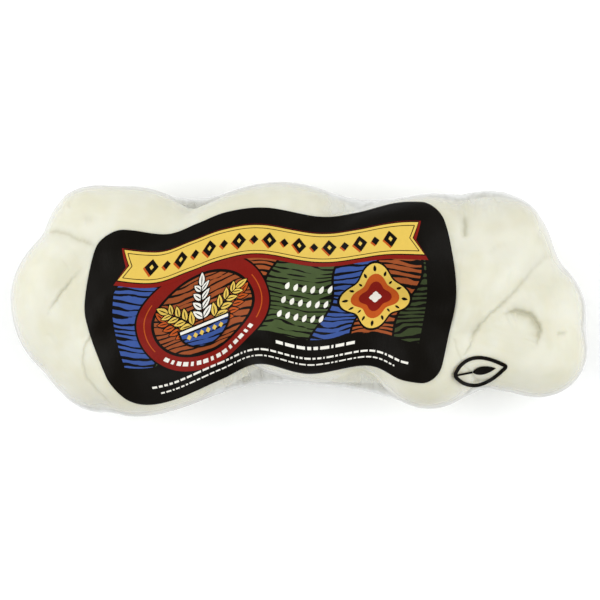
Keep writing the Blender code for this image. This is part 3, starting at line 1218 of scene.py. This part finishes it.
def bar_patch(low: tuple[float, float], high: tuple[float, float]) -> Patch:
    """Return an upright rectangle between two corners.

    Args:
        low: The lower left corner.
        high: The upper right corner.

    Returns:
        The shape.
    """

    def place(first: Array, second: Array) -> tuple[Array, Array]:
        """Go right and up from the lower left corner."""
        return low[0] + (high[0] - low[0]) * first, low[1] + (high[1] - low[1]) * second

    return Patch(place, *(2 + int((high[axis] - low[axis]) / GRID_STEP) for axis in (0, 1)))


def arc_patch(centre: tuple[float, float], inner: tuple[float, float],
              outer: tuple[float, float], start: float = 0.0, end: float = -360.0,
              lobes: int = 0, swing: float = 0.0) -> Patch:
    """Return part of an elliptic ring, clockwise in degrees, or of a disc if inner is zero.

    Lobes swing the radius in and out by a cosine.

    Args:
        centre: The centre.
        inner: Half width and half height of the inner edge.
        outer: Half width and half height of the outer edge.
        start: Where it starts, in degrees.
        end: Where it ends, in degrees.
        lobes: How often the radius swings out in a full turn.
        swing: How far it swings, as a share of the radius.

    Returns:
        The shape.
    """
    turns = math.radians(abs(end - start))
    rows = 2 + int(turns * max(outer) / 0.6)
    columns = 2 + int(max(outer[0] - inner[0], outer[1] - inner[1]) / GRID_STEP)

    def place(first: Array, second: Array) -> tuple[Array, Array]:
        """Go round the centre, and out from the inner edge.

        Args:
            first: Shares of the way round the arc.
            second: Shares of the way out.

        Returns:
            Places along and up the flat print, in millimetres.
        """
        turn = np.radians(start + (end - start) * first)
        swell = 1.0 + swing * np.cos(lobes * turn)
        across = (inner[0] + (outer[0] - inner[0]) * second) * swell
        tall = (inner[1] + (outer[1] - inner[1]) * second) * swell
        return centre[0] + across * np.cos(turn), centre[1] + tall * np.sin(turn)

    return Patch(place, rows, columns)


def leaf_patch(base: tuple[float, float], angle: float, length: float, width: float,
               bend: float = 0.0, margin: float = 0.0) -> Patch:
    """Return a leaf: its half width follows a sine of the length's share, and its line bends.

    Args:
        base: Where the leaf starts.
        angle: Its direction in degrees.
        length: Its length.
        width: Its greatest width.
        bend: How far its tip is carried to the left.
        margin: An extra border all round.

    Returns:
        The shape.
    """
    direction = math.radians(angle)

    def place(first: Array, second: Array) -> tuple[Array, Array]:
        """Go along the leaf, and across it from right to left.

        Args:
            first: Shares of the way along the leaf.
            second: Shares of the way across it.

        Returns:
            Places along and up the flat print, in millimetres.
        """
        half = (width / 2.0 + margin) * np.sin(math.pi * first**0.8) ** 0.85
        along = (length + 2.0 * margin) * first - margin
        side = half * (2.0 * second - 1.0) + bend * first**2
        return (base[0] + along * math.cos(direction) - side * math.sin(direction),
                base[1] + along * math.sin(direction) + side * math.cos(direction))

    return Patch(place, 4 + int(length / 0.5), 3 + int(width / 0.6))


def lozenge_patch(centre: tuple[float, float], width: float, height: float) -> Patch:
    """Return a lozenge: a square grid turned to stand on a corner.

    Args:
        centre: The centre.
        width: Width from corner to corner.
        height: Height from corner to corner.

    Returns:
        The shape.
    """

    def place(first: Array, second: Array) -> tuple[Array, Array]:
        """Start at the left corner; one share goes down and right, the other up and right."""
        return (centre[0] + (first + second - 1.0) * width / 2.0,
                centre[1] + (second - first) * height / 2.0)

    return Patch(place, 7, 7)


def stroke_patch(points: Route, width: float, taper: bool = False) -> Patch:
    """Return a line of even width, or one thinning to both ends, along a smooth curve.

    Args:
        points: Stations of its middle line.
        width: Its greatest width.
        taper: Whether it thins to both ends.

    Returns:
        The shape.
    """
    route = smooth_route(points, LINE_STEP)
    tangents = unit(np.gradient(route, axis=0))
    steps = np.arange(len(route))

    def place(first: Array, second: Array) -> tuple[Array, Array]:
        """Go along the line, and across it from right to left.

        Args:
            first: Shares of the way along the line.
            second: Shares of the way across it.

        Returns:
            Places along and up the flat print, in millimetres.
        """
        at = first * (len(route) - 1)
        half = width / 2.0 * (np.sin(math.pi * first) ** 0.7 if taper else 1.0)
        side = half * (2.0 * second - 1.0)
        return (np.interp(at, steps, route[:, 0]) - side * np.interp(at, steps, tangents[:, 1]),
                np.interp(at, steps, route[:, 1]) + side * np.interp(at, steps, tangents[:, 0]))

    return Patch(place, len(route), 2 if width < 0.7 else 3)


# ---------------------------------------------------------------- the label


@dataclass
class FrontMap:
    """Heights over a plan of stations along the pack and across it."""

    stations: Array
    across: Array
    heights: Array

    @staticmethod
    def over(rings: Array, half_width: float, step: float) -> "FrontMap":
        """Read the front of rings that stand square to X.

        Each ring is read between its widest points, where height is a single value of y.

        Args:
            rings: Points by ring and place along the front half of each.
            half_width: How far the map reaches to either side.
            step: Its spacing across.

        Returns:
            The map.
        """
        across = np.arange(-half_width, half_width, step)
        heights = []
        for ring in rings:
            seen = ring[np.argmax(ring[:, 1]): np.argmin(ring[:, 1]) + 1]
            heights.append(np.interp(across, seen[::-1, 1], seen[::-1, 2]))
        return FrontMap(rings[:, 0, 0], across, np.array(heights))

    def relaxed(self, gap: float, rounds: int, pull: float) -> "FrontMap":
        """Return the heights of a stiffer sheet laid gap above this one.

        Each round a height moves to its neighbours' mean less a pull, never below the gap.

        Args:
            gap: The least height over this map.
            rounds: How many rounds the sheet is eased.
            pull: How far it is drawn down in each.

        Returns:
            The sheet's map.
        """
        base = self.heights + gap
        sheet = base.copy()
        for _ in range(rounds):
            wide = np.pad(sheet, 1, mode="edge")
            mean = (wide[:-2, 1:-1] + wide[2:, 1:-1] + wide[1:-1, :-2] + wide[1:-1, 2:]) / 4.0
            sheet = np.maximum(base, mean - pull)
        return FrontMap(self.stations, self.across, sheet)

    def at(self, plan: Array) -> Array:
        """Return the height at each (x, y) place.

        Args:
            plan: Places in plan, with x and y last.

        Returns:
            A height for each place.
        """
        i = np.interp(plan[..., 0], self.stations, np.arange(len(self.stations)))
        j = np.interp(plan[..., 1], self.across, np.arange(len(self.across)))
        return between(self.heights, i, j)


def between(values: Array, i: Array, j: Array) -> Array:
    """Return a grid's values at fractional rows i and columns j, mixed from four neighbours.

    Args:
        values: A grid by row and column.
        i: Row numbers, which may be fractions.
        j: Column numbers, which may be fractions.

    Returns:
        A value for each pair of numbers.
    """
    row = np.clip(i.astype(int), 0, values.shape[0] - 2)
    column = np.clip(j.astype(int), 0, values.shape[1] - 2)
    extra = (1,) * (values.ndim - 2)
    down = (i - row).reshape(i.shape + extra)
    over = (j - column).reshape(j.shape + extra)
    first = values[row, column] * (1.0 - over) + values[row, column + 1] * over
    second = values[row + 1, column] * (1.0 - over) + values[row + 1, column + 1] * over
    return first * (1.0 - down) + second * down


@dataclass(frozen=True)
class Sprig:
    """A printed stem with pairs of leaves and one at its tip."""

    base: tuple[float, float]
    angle: float
    length: float
    bend: float
    leaf: tuple[float, float] = (4.0, 1.75)
    shares: tuple[float, ...] = (0.22, 0.41, 0.6, 0.78)
    tip_share: float = 0.88
    spread: float = 44.0

    def spot(self, share: float) -> tuple[float, float]:
        """Return the place at a share of the stem, which bends as the share's square.

        Args:
            share: How far along the stem, from 0 to 1.

        Returns:
            The place on the flat print.
        """
        direction = math.radians(self.angle)
        along, side = share * self.length, self.bend * share**2
        return (self.base[0] + along * math.cos(direction) - side * math.sin(direction),
                self.base[1] + along * math.sin(direction) + side * math.cos(direction))

    def each_leaf(self) -> list[tuple[tuple[float, float], float, float]]:
        """Return the start, direction and size share of every leaf.

        Returns:
            For each leaf its start, its direction in degrees and its size.
        """
        found = []
        for share in (*self.shares, self.tip_share):
            lean = math.degrees(math.atan2(2.0 * self.bend * share, self.length))
            if share == self.tip_share:
                found.append((self.spot(share), self.angle + lean, 0.95))
                continue
            for sign in (-1.0, 1.0):
                found.append((self.spot(share), self.angle + lean + sign * self.spread,
                              1.06 - 0.35 * share))
        return found

    def leaves(self, margin: float) -> list[Patch]:
        """Return the leaves, grown by a margin for their outline."""
        return [leaf_patch(start, angle, self.leaf[0] * size, self.leaf[1] * size, 0.0, margin)
                for start, angle, size in self.each_leaf()]

    def veins(self) -> list[Patch]:
        """Return the stem and each leaf's midrib, thinning to both ends.

        Returns:
            One tapering line for the stem and one for each leaf.
        """
        cuts = [stroke_patch((self.spot(0.0), self.spot(0.5), self.spot(0.95)), 0.45, True)]
        for (x, y), angle, size in self.each_leaf():
            way = math.radians(angle)
            reach = self.leaf[0] * size
            ends = [(x + reach * share * math.cos(way), y + reach * share * math.sin(way))
                    for share in (0.05, 0.45, 0.8)]
            cuts.append(stroke_patch(tuple(ends), 0.3, True))
        return cuts


@dataclass
class PrintedLabel:
    """The wavy label: its sheet laid on the film, and every printed shape laid on the sheet."""

    form: PlaitForm
    effects: Effects
    top: Route = (
        (-53.8, 19.6), (-47.0, 19.4), (-36.5, 18.3), (-28.0, 21.4), (-20.0, 24.5),
        (-9.0, 25.7), (6.0, 23.2), (16.0, 24.2), (28.0, 27.1), (39.1, 27.1),
    )
    bottom: Route = (
        (-51.7, -26.3), (-44.0, -29.4), (-35.0, -28.2), (-21.5, -22.4), (-11.0, -18.0),
        (3.0, -20.8), (19.5, -18.5), (29.0, -22.5), (38.8, -23.8),
    )
    left: Route = (
        (-51.7, -26.3), (-55.4, -17.5), (-58.5, -9.0), (-59.8, -1.0), (-57.5, 12.5),
        (-53.8, 19.6),
    )
    right: Route = (
        (38.8, -23.8), (41.6, -11.8), (44.1, 1.5), (42.3, 16.0), (39.1, 27.1),
    )
    # The print is drawn on a flat sheet of this size, which the outline then shapes.
    length: float = 104.0
    height: float = 48.0
    corner: float = 5.2
    columns: int = 261
    rows: int = 121
    thickness: float = 0.12
    # How the sheet is laid: its gap over the film, its rounds of easing and the pull of each.
    gap: float = 0.05
    easing_rounds: int = 90
    easing_pull: float = 0.005
    layer_lift: float = 0.03
    ribbon_low: float = 33.8
    ribbon_high: float = 42.2
    ribbon_ends: tuple[float, float] = (8.5, 96.0)
    field_low: float = 10.4
    medallion: tuple[float, float] = (33.0, 20.4)
    medallion_size: tuple[float, float] = (19.0, 15.4)
    rosette: tuple[float, float] = (81.5, 21.6)

    def __post_init__(self) -> None:
        """Lay the sheet on the film's front."""
        self.sheet_points = self.lay_sheet()
        self.sheet_normals = grid_normals(self.sheet_points)
        self.materials = {ink: ink.value.material(self.effects) for ink in Ink}

    def lay_sheet(self) -> Array:
        """Return the sheet's grid of points.

        In plan each point is blended between the four curved edges: across plus up, less the
        corners counted twice. Its height is that of a slightly stiffer sheet over the film.

        Returns:
            Points in millimetres, by column and row.
        """
        top, bottom = (even_points(edge, self.columns) for edge in (self.top, self.bottom))
        left, right = (even_points(edge, self.rows) for edge in (self.left, self.right))
        along = np.linspace(0.0, 1.0, self.columns)[:, None, None]
        up = np.linspace(0.0, 1.0, self.rows)[None, :, None]
        plan = (
            (1.0 - along) * left[None] + along * right[None]
            + (1.0 - up) * bottom[:, None] + up * top[:, None]
            - (1.0 - along) * (1.0 - up) * bottom[0] - along * (1.0 - up) * bottom[-1]
            - (1.0 - along) * up * top[0] - along * up * top[-1]
        ) - self.form.offset[:2]
        front = self.form.front_map().relaxed(self.gap, self.easing_rounds, self.easing_pull)
        return np.dstack([plan, front.at(plan)])

    def rounded_sheet(self) -> Array:
        """Return places over the whole sheet with its corners rounded.

        Columns stand evenly, and within a corner's radius by equal angles of its quarter circle.
        There each column is cut short by the circle's height: radius less radius times sine.

        Returns:
            Places (along, up) in millimetres, by column and row.
        """
        radius = self.corner
        angles = np.linspace(0.0, math.pi / 2.0, 15)
        near = radius * (1.0 - np.cos(angles))
        middle = np.linspace(radius, self.length - radius, self.columns)[1:-1]
        along = np.concatenate([near, middle, (self.length - near)[::-1]])
        short = radius - radius * np.sin(angles)
        cut = np.concatenate([short, np.zeros(len(middle)), short[::-1]])
        share = np.linspace(0.0, 1.0, self.rows)
        up = cut[:, None] + (self.height - 2.0 * cut)[:, None] * share
        return np.dstack([np.broadcast_to(along[:, None], up.shape), up])

    def lay(self, places: Array, lift: float) -> Array:
        """Return points lifted off the sheet at places given on the flat print.

        Args:
            places: (along, up) in millimetres, last.
            lift: Height above the sheet's underside, along its normal.

        Returns:
            Points in millimetres.
        """
        i = places[..., 0] / self.length * (self.columns - 1)
        j = places[..., 1] / self.height * (self.rows - 1)
        normals = unit(between(self.sheet_normals, i, j))
        return between(self.sheet_points, i, j) + normals * lift

    def piece(self, name: str, ink: Ink, layer: int, patches: list[Patch]) -> None:
        """Lay patches of one colour on the sheet as one thin mesh.

        Args:
            name: The piece's name.
            ink: Its colour.
            layer: How many prints lie under it, which sets its height over the sheet.
            patches: Its shapes.
        """
        points, values, faces, count = [], [], [], 0
        for patch in patches:
            grid = patch.grid()
            laid = self.lay(grid, self.thickness + self.layer_lift * layer)
            inward = np.minimum(np.arange(patch.rows), np.arange(patch.rows)[::-1])
            edge = np.broadcast_to(inward[:, None] * GRID_STEP, grid.shape[:2])
            points.append(laid.reshape(-1, 3))
            values.append(np.dstack([grid, edge]).reshape(-1, 3))
            faces.append(grid_faces(*grid.shape[:2], first=count))
            count += len(points[-1])
        made = mesh_piece(name, np.vstack(points), np.vstack(faces).tolist(),
                          {"print_mm": np.vstack(values)})
        made.data.materials.append(self.materials[ink])
        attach(made, "root")
        log.info("%s: %d printed shapes", name, len(patches))

    def build(self) -> None:
        """Make the sheet and all that is printed on it."""
        self.build_sheet()
        self.build_fields()
        self.build_medallion()
        self.build_plant()
        self.build_ribbon()
        self.build_rosette()
        self.build_small_print()

    def build_sheet(self) -> None:
        """Make the black sheet with its real thickness."""
        grid = self.rounded_sheet()
        values = {"print_mm": np.dstack([grid, np.full(grid.shape[:2], WELL_INSIDE)]).reshape(-1, 3)}
        made = mesh_piece("label_sheet", self.lay(grid, 0.0).reshape(-1, 3),
                          grid_faces(*grid.shape[:2]).tolist(), values)
        wall = made.modifiers.new("thickness", "SOLIDIFY")
        wall.thickness = self.thickness * MM
        wall.offset = 1.0
        made.data.materials.append(self.materials[Ink.BLACK])
        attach(made, "root")
        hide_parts("label")
        log.info("label_sheet: %d by %d points", *grid.shape[:2])

    def build_fields(self) -> None:
        """Print slanted fields of streaked colour, with black showing between them."""
        low, high = self.field_low, self.ribbon_low
        slant, sway = 0.34, 1.2
        near, far = 7.6, 96.4
        seam = 0.35

        def border(start: float) -> Callable[[Array], Array]:
            """Return a slanting, wavy side that stands near start at the foot."""
            return lambda up: np.clip(
                start + slant * (up - low) + sway * np.sin(up * 0.3 + start), near, far)

        def field(start: float, end: float) -> Patch:
            """Return the field between two sides, less the seam along each."""
            left, right = border(start), border(end)
            return field_patch(lambda up: left(up) + seam, lambda up: right(up) - seam, low, high)

        self.piece("field_blue", Ink.BLUE, 1, [field(2.0, 16.0), field(64.5, 76.0)])
        self.piece("field_green", Ink.GREEN, 1, [field(16.0, 31.0), field(47.0, 64.5)])
        self.piece("field_rust", Ink.RUST, 1, [field(31.0, 47.0), field(76.0, 87.5)])
        self.piece("field_olive", Ink.OLIVE, 1, [field(87.5, 99.0)])

    def build_medallion(self) -> None:
        """Print the ringed medallion, with small dashes round the lower half of its ring."""
        centre = self.medallion
        wide, tall = self.medallion_size

        def size(less: float) -> tuple[float, float]:
            """Return the medallion's half sizes less a border."""
            return wide - less, tall - less

        def arc(inner: float, outer: float, start: float = 0.0, end: float = -360.0) -> Patch:
            """Return part of a ring between two borders inside the medallion's edge."""
            return arc_patch(centre, size(inner), size(outer), start, end)

        self.piece("medallion_edge", Ink.BLACK, 2, [arc_patch(centre, (0, 0), size(-0.5))])
        self.piece("medallion_ring", Ink.RED, 3, [arc(3.9, 0.0)])
        self.piece("medallion_line", Ink.ORANGE, 4, [
            arc(2.15, 1.85, 206.0, 148.0), arc(2.15, 1.85, 32.0, -26.0)])
        dashes = [arc(2.6, 1.4, float(at) + wide_mark, float(at) - wide_mark)
                  for at, wide_mark in zip(np.arange(-38.0, -146.0, -7.2), [2.4, 1.5, 2.8] * 5)]
        self.piece("medallion_dashes", Ink.CREAM, 4, dashes)
        self.piece("medallion_disc", Ink.RUST, 3, [arc_patch(centre, (0, 0), size(4.7))])

    def build_plant(self) -> None:
        """Print three leafy sprigs in a streaked bowl, cut like the rest of the print."""
        x, y = self.medallion[0], self.medallion[1] - 4.2
        middle = Sprig((x, y), 90.0, 13.6, 0.0)
        sides = [Sprig((x - 1.6, y), 128.0, 13.0, 2.2), Sprig((x + 1.6, y), 52.0, 13.0, -2.2)]
        low = [Sprig((x - 3.0, y), 158.0, 11.0, -3.4), Sprig((x + 3.0, y), 22.0, 11.0, 3.4)]
        groups = (("low", Ink.ORANGE, 4, low), ("side", Ink.YELLOW, 6, sides),
                  ("middle", Ink.CREAM, 8, [middle]))
        for name, ink, layer, sprigs in groups:
            self.piece(f"sprig_{name}_outline", Ink.BLACK, layer, [
                shape for sprig in sprigs for shape in sprig.leaves(0.32)])
            self.piece(f"sprig_{name}", ink, layer + 1, [
                shape for sprig in sprigs for shape in sprig.leaves(0.0)])
            self.piece(f"sprig_{name}_veins", Ink.BLACK, layer + 2, [
                shape for sprig in sprigs for shape in sprig.veins()])

        def bowl(wide: float, deep: float, rise: float) -> Patch:
            """Return a half ellipse, widest at its flat top.

            Args:
                wide: Half its width.
                deep: Its depth.
                rise: How far its flat top is raised.

            Returns:
                The shape.
            """
            def place(first: Array, second: Array) -> tuple[Array, Array]:
                """Go across from left to right, and up from the round foot to the flat top.

                Args:
                    first: Shares of the way across the bowl.
                    second: Shares of the way up.

                Returns:
                    Places along and up the flat print, in millimetres.
                """
                depth = deep * np.sqrt(np.clip(1.0 - (2.0 * first - 1.0) ** 2, 0.0, 1.0))
                return (x + (2.0 * first - 1.0) * wide,
                        y + 1.5 + rise - (depth + rise) * (1.0 - second))
            return Patch(place, 41, 11)

        self.piece("bowl_outline", Ink.BLACK, 11, [bowl(8.1, 6.5, 0.45)])
        self.piece("bowl", Ink.BLUE, 12, [bowl(7.5, 6.0, 0.0)])
        self.piece("bowl_rim", Ink.CREAM, 13, [bar_patch((x - 7.4, y + 0.7), (x + 7.4, y + 1.5))])
        self.piece("bowl_dots", Ink.YELLOW, 13, [
            lozenge_patch((x + at, y - 0.8), 1.5, 1.6) for at in np.linspace(-5.0, 5.0, 6)])

    def build_ribbon(self) -> None:
        """Print the yellow ribbon with notched ends, its shade, inset line and lozenges."""
        low, high = self.ribbon_low, self.ribbon_high
        left, right = self.ribbon_ends
        middle = (low + high) / 2.0
        notch = 2.6

        def notched(grow: float, shift: float) -> Patch:
            """Return the ribbon with a notch in each end.

            Args:
                grow: How far it is grown all round.
                shift: How far it is moved up.

            Returns:
                The shape.
            """
            def place(first: Array, second: Array) -> tuple[Array, Array]:
                """Go along from notch to notch, and up.

                Args:
                    first: Shares of the way along the ribbon.
                    second: Shares of the way up.

                Returns:
                    Places along and up the flat print, in millimetres.
                """
                cut = notch * (1.0 - np.abs(2.0 * second - 1.0))
                start, end = left - grow + cut, right + grow - cut
                rise = low - grow + (high - low + 2.0 * grow) * second
                return start + (end - start) * first, rise + shift
            return Patch(place, 131, 17)

        self.piece("ribbon_shade", Ink.RED, 5, [notched(0.9, -0.5)])
        self.piece("ribbon_edge", Ink.BLACK, 6, [notched(0.3, 0.0)])
        self.piece("ribbon", Ink.YELLOW, 7, [notched(0.0, 0.0)])
        inset = 0.85
        near, far = left + 1.55 * inset, right - 1.55 * inset
        rises = (low + inset, high - inset)
        lines = [bar_patch((near, at - 0.1), (far, at + 0.1)) for at in rises]
        for end, way in ((near, 1.0), (far, -1.0)):
            for rise in rises:
                lines.append(stroke_patch(((end, rise), (end + way * (notch - 0.5), middle)), 0.22))
        self.piece("ribbon_lines", Ink.BLACK, 8, lines)
        marks = np.linspace(left + 9.0, right - 9.0, 17)
        sizes = [(4.0, 4.6) if number % 2 == 0 else (2.3, 2.5) for number in range(len(marks))]
        self.piece("ribbon_shades", Ink.ORANGE, 8, [
            lozenge_patch((at - 0.4, middle - 0.35), wide, tall)
            for at, (wide, tall) in zip(marks, sizes)])
        self.piece("ribbon_lozenges", Ink.BLACK, 9, [
            lozenge_patch((at, middle), wide, tall) for at, (wide, tall) in zip(marks, sizes)])
        self.piece("ribbon_sparks", Ink.YELLOW, 10, [
            lozenge_patch((at, middle), 1.2, 1.5) for at in marks[::2]])

    def build_rosette(self) -> None:
        """Print the nested four-lobed ornament and the rows of small drops beside it."""
        centre = self.rosette
        lobes, swing, seed_ring = 4, 0.18, 6.35

        def lobed(size: float) -> Patch:
            """Return a disc with its edge swung in and out."""
            return arc_patch(centre, (0, 0), (size, size), lobes=lobes, swing=swing)

        self.piece("rosette_outline", Ink.BLACK, 2, [lobed(9.0)])
        self.piece("rosette_outer", Ink.YELLOW, 3, [lobed(8.4)])
        self.piece("rosette_middle", Ink.ORANGE, 4, [lobed(5.8)])
        self.piece("rosette_inner", Ink.RED, 5, [lobed(3.9)])
        self.piece("rosette_eye", Ink.CREAM, 6, [lobed(1.5)])
        seeds = []
        for turn in np.radians(np.arange(0.0, 360.0, 22.5)):
            swell = 1.0 + swing * math.cos(lobes * turn)
            start = (centre[0] + seed_ring * swell * math.cos(turn),
                     centre[1] + seed_ring * swell * math.sin(turn))
            seeds.append(leaf_patch(start, math.degrees(turn), 1.6 * swell, 0.72 * swell))
        self.piece("rosette_seeds", Ink.BLACK, 5, seeds)
        drops = [leaf_patch((54.4 + 2.35 * column + 1.2 * row, 15.6 + 4.4 * row), 66.0, 2.5, 1.15)
                 for row in range(3) for column in range(6)]
        self.piece("field_drops", Ink.CREAM, 2, drops)

    def build_small_print(self) -> None:
        """Print rows of plain dashes of uneven length on the lower border."""
        draw = np.random.default_rng(7)
        dashes = []
        for up, tall, start, end in ((7.4, 0.95, 53.5, 77.0), (4.5, 0.6, 14.0, 92.0),
                                     (2.7, 0.45, 16.0, 90.0)):
            at = start
            while at < end:
                wide = float(draw.uniform(0.5, 2.6)) * (0.6 + 0.6 * tall)
                dashes.append(bar_patch((at, up), (at + wide, up + tall)))
                at += wide + 0.35 + 0.3 * tall
        self.piece("small_dashes", Ink.CREAM, 6, dashes)


@dataclass
class FilmMark:
    """A plain outlined leaf printed in black on the film, by the pack's right end."""

    form: PlaitForm
    effects: Effects
    # How far the mark is lifted off the film.
    lift: float = 0.14
    base: tuple[float, float] = (43.9, -21.3)
    angle: float = 10.0
    length: float = 14.4
    width: float = 7.8
    line_width: float = 1.05

    def outline(self) -> Patch:
        """Return the leaf's outline: a stroke from mid-edge round the tip and base and back.

        Returns:
            The stroke's shape.
        """
        shares = np.linspace(0.0, 1.0, 12)
        leaf = leaf_patch(self.base, self.angle, self.length, self.width)
        right = np.column_stack(leaf.place(shares, np.zeros(12)))
        left = np.column_stack(leaf.place(shares[::-1], np.ones(12)))
        loop = np.vstack([right[5:], left[1:], right[1:7]])
        return stroke_patch(tuple(map(tuple, loop)), self.line_width)

    def build(self) -> None:
        """Make the outline and, inside it, a small solid leaf on its stalk."""
        way = math.radians(self.angle)
        stalk = tuple((self.base[0] + at * math.cos(way), self.base[1] + at * math.sin(way))
                      for at in (0.0, 2.5, 5.0))
        shapes = (self.outline(), stroke_patch(stalk, 0.6),
                  leaf_patch(stalk[2], self.angle, self.length * 0.46, self.width * 0.3))
        points, faces, count = [], [], 0
        front = self.form.front_map()
        for shape in shapes:
            plan = shape.grid() - self.form.offset[:2]
            points.append(np.dstack([plan, front.at(plan) + self.lift]).reshape(-1, 3))
            faces.append(grid_faces(*plan.shape[:2], first=count))
            count += len(points[-1])
        laid = np.vstack(points)
        places = np.column_stack([laid[:, :2], np.full(len(laid), WELL_INSIDE)])
        made = mesh_piece("film_mark", laid, np.vstack(faces).tolist(), {"print_mm": places})
        made.data.materials.append(Ink.BLACK.value.material(self.effects))
        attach(made, "root")
        log.info("film_mark: %d shapes", len(shapes))


# ---------------------------------------------------------------- pack, stage and main


@dataclass
class SealedPack:
    """The plait of cheese and the clear film round it."""

    form: PlaitForm
    effects: Effects

    def build(self) -> None:
        """Make both bodies; together they stand for the solid pack."""
        cheese = closed_body("cheese_plait", self.form.cheese,
                             # The crease and patch values paint shade and light into the cheese's
                             # colour.
                             {"fibre": self.form.fibre, "crease": self.form.crease,
                              "tone": self.form.tone})
        cheese.data.materials.append(CheeseFinish().material(self.effects))
        film = closed_body("clear_film", self.form.film, {"slack": self.form.slack})
        film.data.materials.append(FilmFinish().material(self.effects))
        for made in (cheese, film):
            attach(made, "root")
            log.info("%s: %d faces", made.name, len(made.data.polygons))
        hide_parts("sealed_pack")


@dataclass(frozen=True)
class Studio:
    """A pale floor, soft lights round the object and the camera straight above it."""

    # How far under the pack the floor lies, in metres.
    floor_drop: float = 0.0001
    floor_size: float = 3.0
    view_width: float = 169.6 * MM
    camera_height: float = 1.1
    light_size: float = 0.8
    light_height: float = 0.7
    # Each light: name, x, y and power.
    lights: tuple[tuple[str, float, float, float], ...] = (
        ("left", -0.85, 0.0, 5.9), ("right", 0.85, 0.0, 4.4), ("back_left", -0.6, 0.6, 2.2),
        ("back_right", 0.6, 0.6, 1.8), ("front", 0.6, -0.6, 1.7),
    )
    aim: tuple[float, float] = (0.16, -0.24)

    def build(self) -> None:
        """Make the floor, the lights, the surroundings and the camera."""
        self.make_floor()
        for name, x, y, power in self.lights:
            self.make_light(name, (x, y, self.light_height), power)
        world = bpy.data.worlds.new("studio_air")
        world.use_nodes = True
        background = world.node_tree.nodes["Background"]
        background.inputs["Color"].default_value = (0.93, 0.96, 1.0, 1.0)
        background.inputs["Strength"].default_value = 0.6
        bpy.context.scene.world = world
        bpy.context.scene.view_settings.view_transform = "Standard"
        self.make_camera()

    def make_floor(self) -> None:
        """Make the floor just under the pack."""
        half = self.floor_size / 2.0
        corners = [(x * half, y * half, -self.floor_drop)
                   for x, y in ((-1.0, -1.0), (1.0, -1.0), (1.0, 1.0), (-1.0, 1.0))]
        mesh = bpy.data.meshes.new("floor")
        mesh.from_pydata(corners, [], [(0, 1, 2, 3)])
        floor = bpy.data.objects.new("floor", mesh)
        bpy.context.scene.collection.objects.link(floor)
        material, sheet = start_material("pale_floor")
        shader = sheet.add("BsdfPrincipled", Base_Color=(0.97, 0.97, 0.97, 1.0), Roughness=0.9)
        sheet.add("OutputMaterial", Surface=shader.outputs[0])
        mesh.materials.append(material)

    def make_light(self, name: str, place: tuple[float, float, float], power: float) -> None:
        """Make a square soft light that faces the object.

        Args:
            name: The light's name.
            place: Where it stands, in metres.
            power: Its power in watts.
        """
        light = bpy.data.lights.new(name, "AREA")
        light.shape = "SQUARE"
        light.size = self.light_size
        light.energy = power
        lamp = bpy.data.objects.new(name, light)
        lamp.location = place
        lamp.rotation_euler = (-Vector(place)).to_track_quat("-Z", "Y").to_euler()
        bpy.context.scene.collection.objects.link(lamp)

    def make_camera(self) -> None:
        """Make a long-lens camera that looks straight down, with +Y up in its view."""
        data = bpy.data.cameras.new("camera")
        middle = CAD_BOUNDS[1][2] / 2.0
        data.sensor_width = 36.0
        data.lens = data.sensor_width * (self.camera_height - middle) / self.view_width
        camera = bpy.data.objects.new("camera", data)
        camera.location = (self.aim[0] * MM, self.aim[1] * MM, self.camera_height)
        bpy.context.scene.collection.objects.link(camera)
        bpy.context.scene.camera = camera


def main() -> None:
    """Build the pack, the label and the studio, in that order."""
    logging.basicConfig(level=logging.INFO, format="%(name)s: %(message)s")
    effects = Effects.build()
    form = PlaitForm()
    SealedPack(form, effects).build()
    PrintedLabel(form, effects).build()
    FilmMark(form, effects).build()
    Studio().build()


if __name__ == "__main__":
    main()
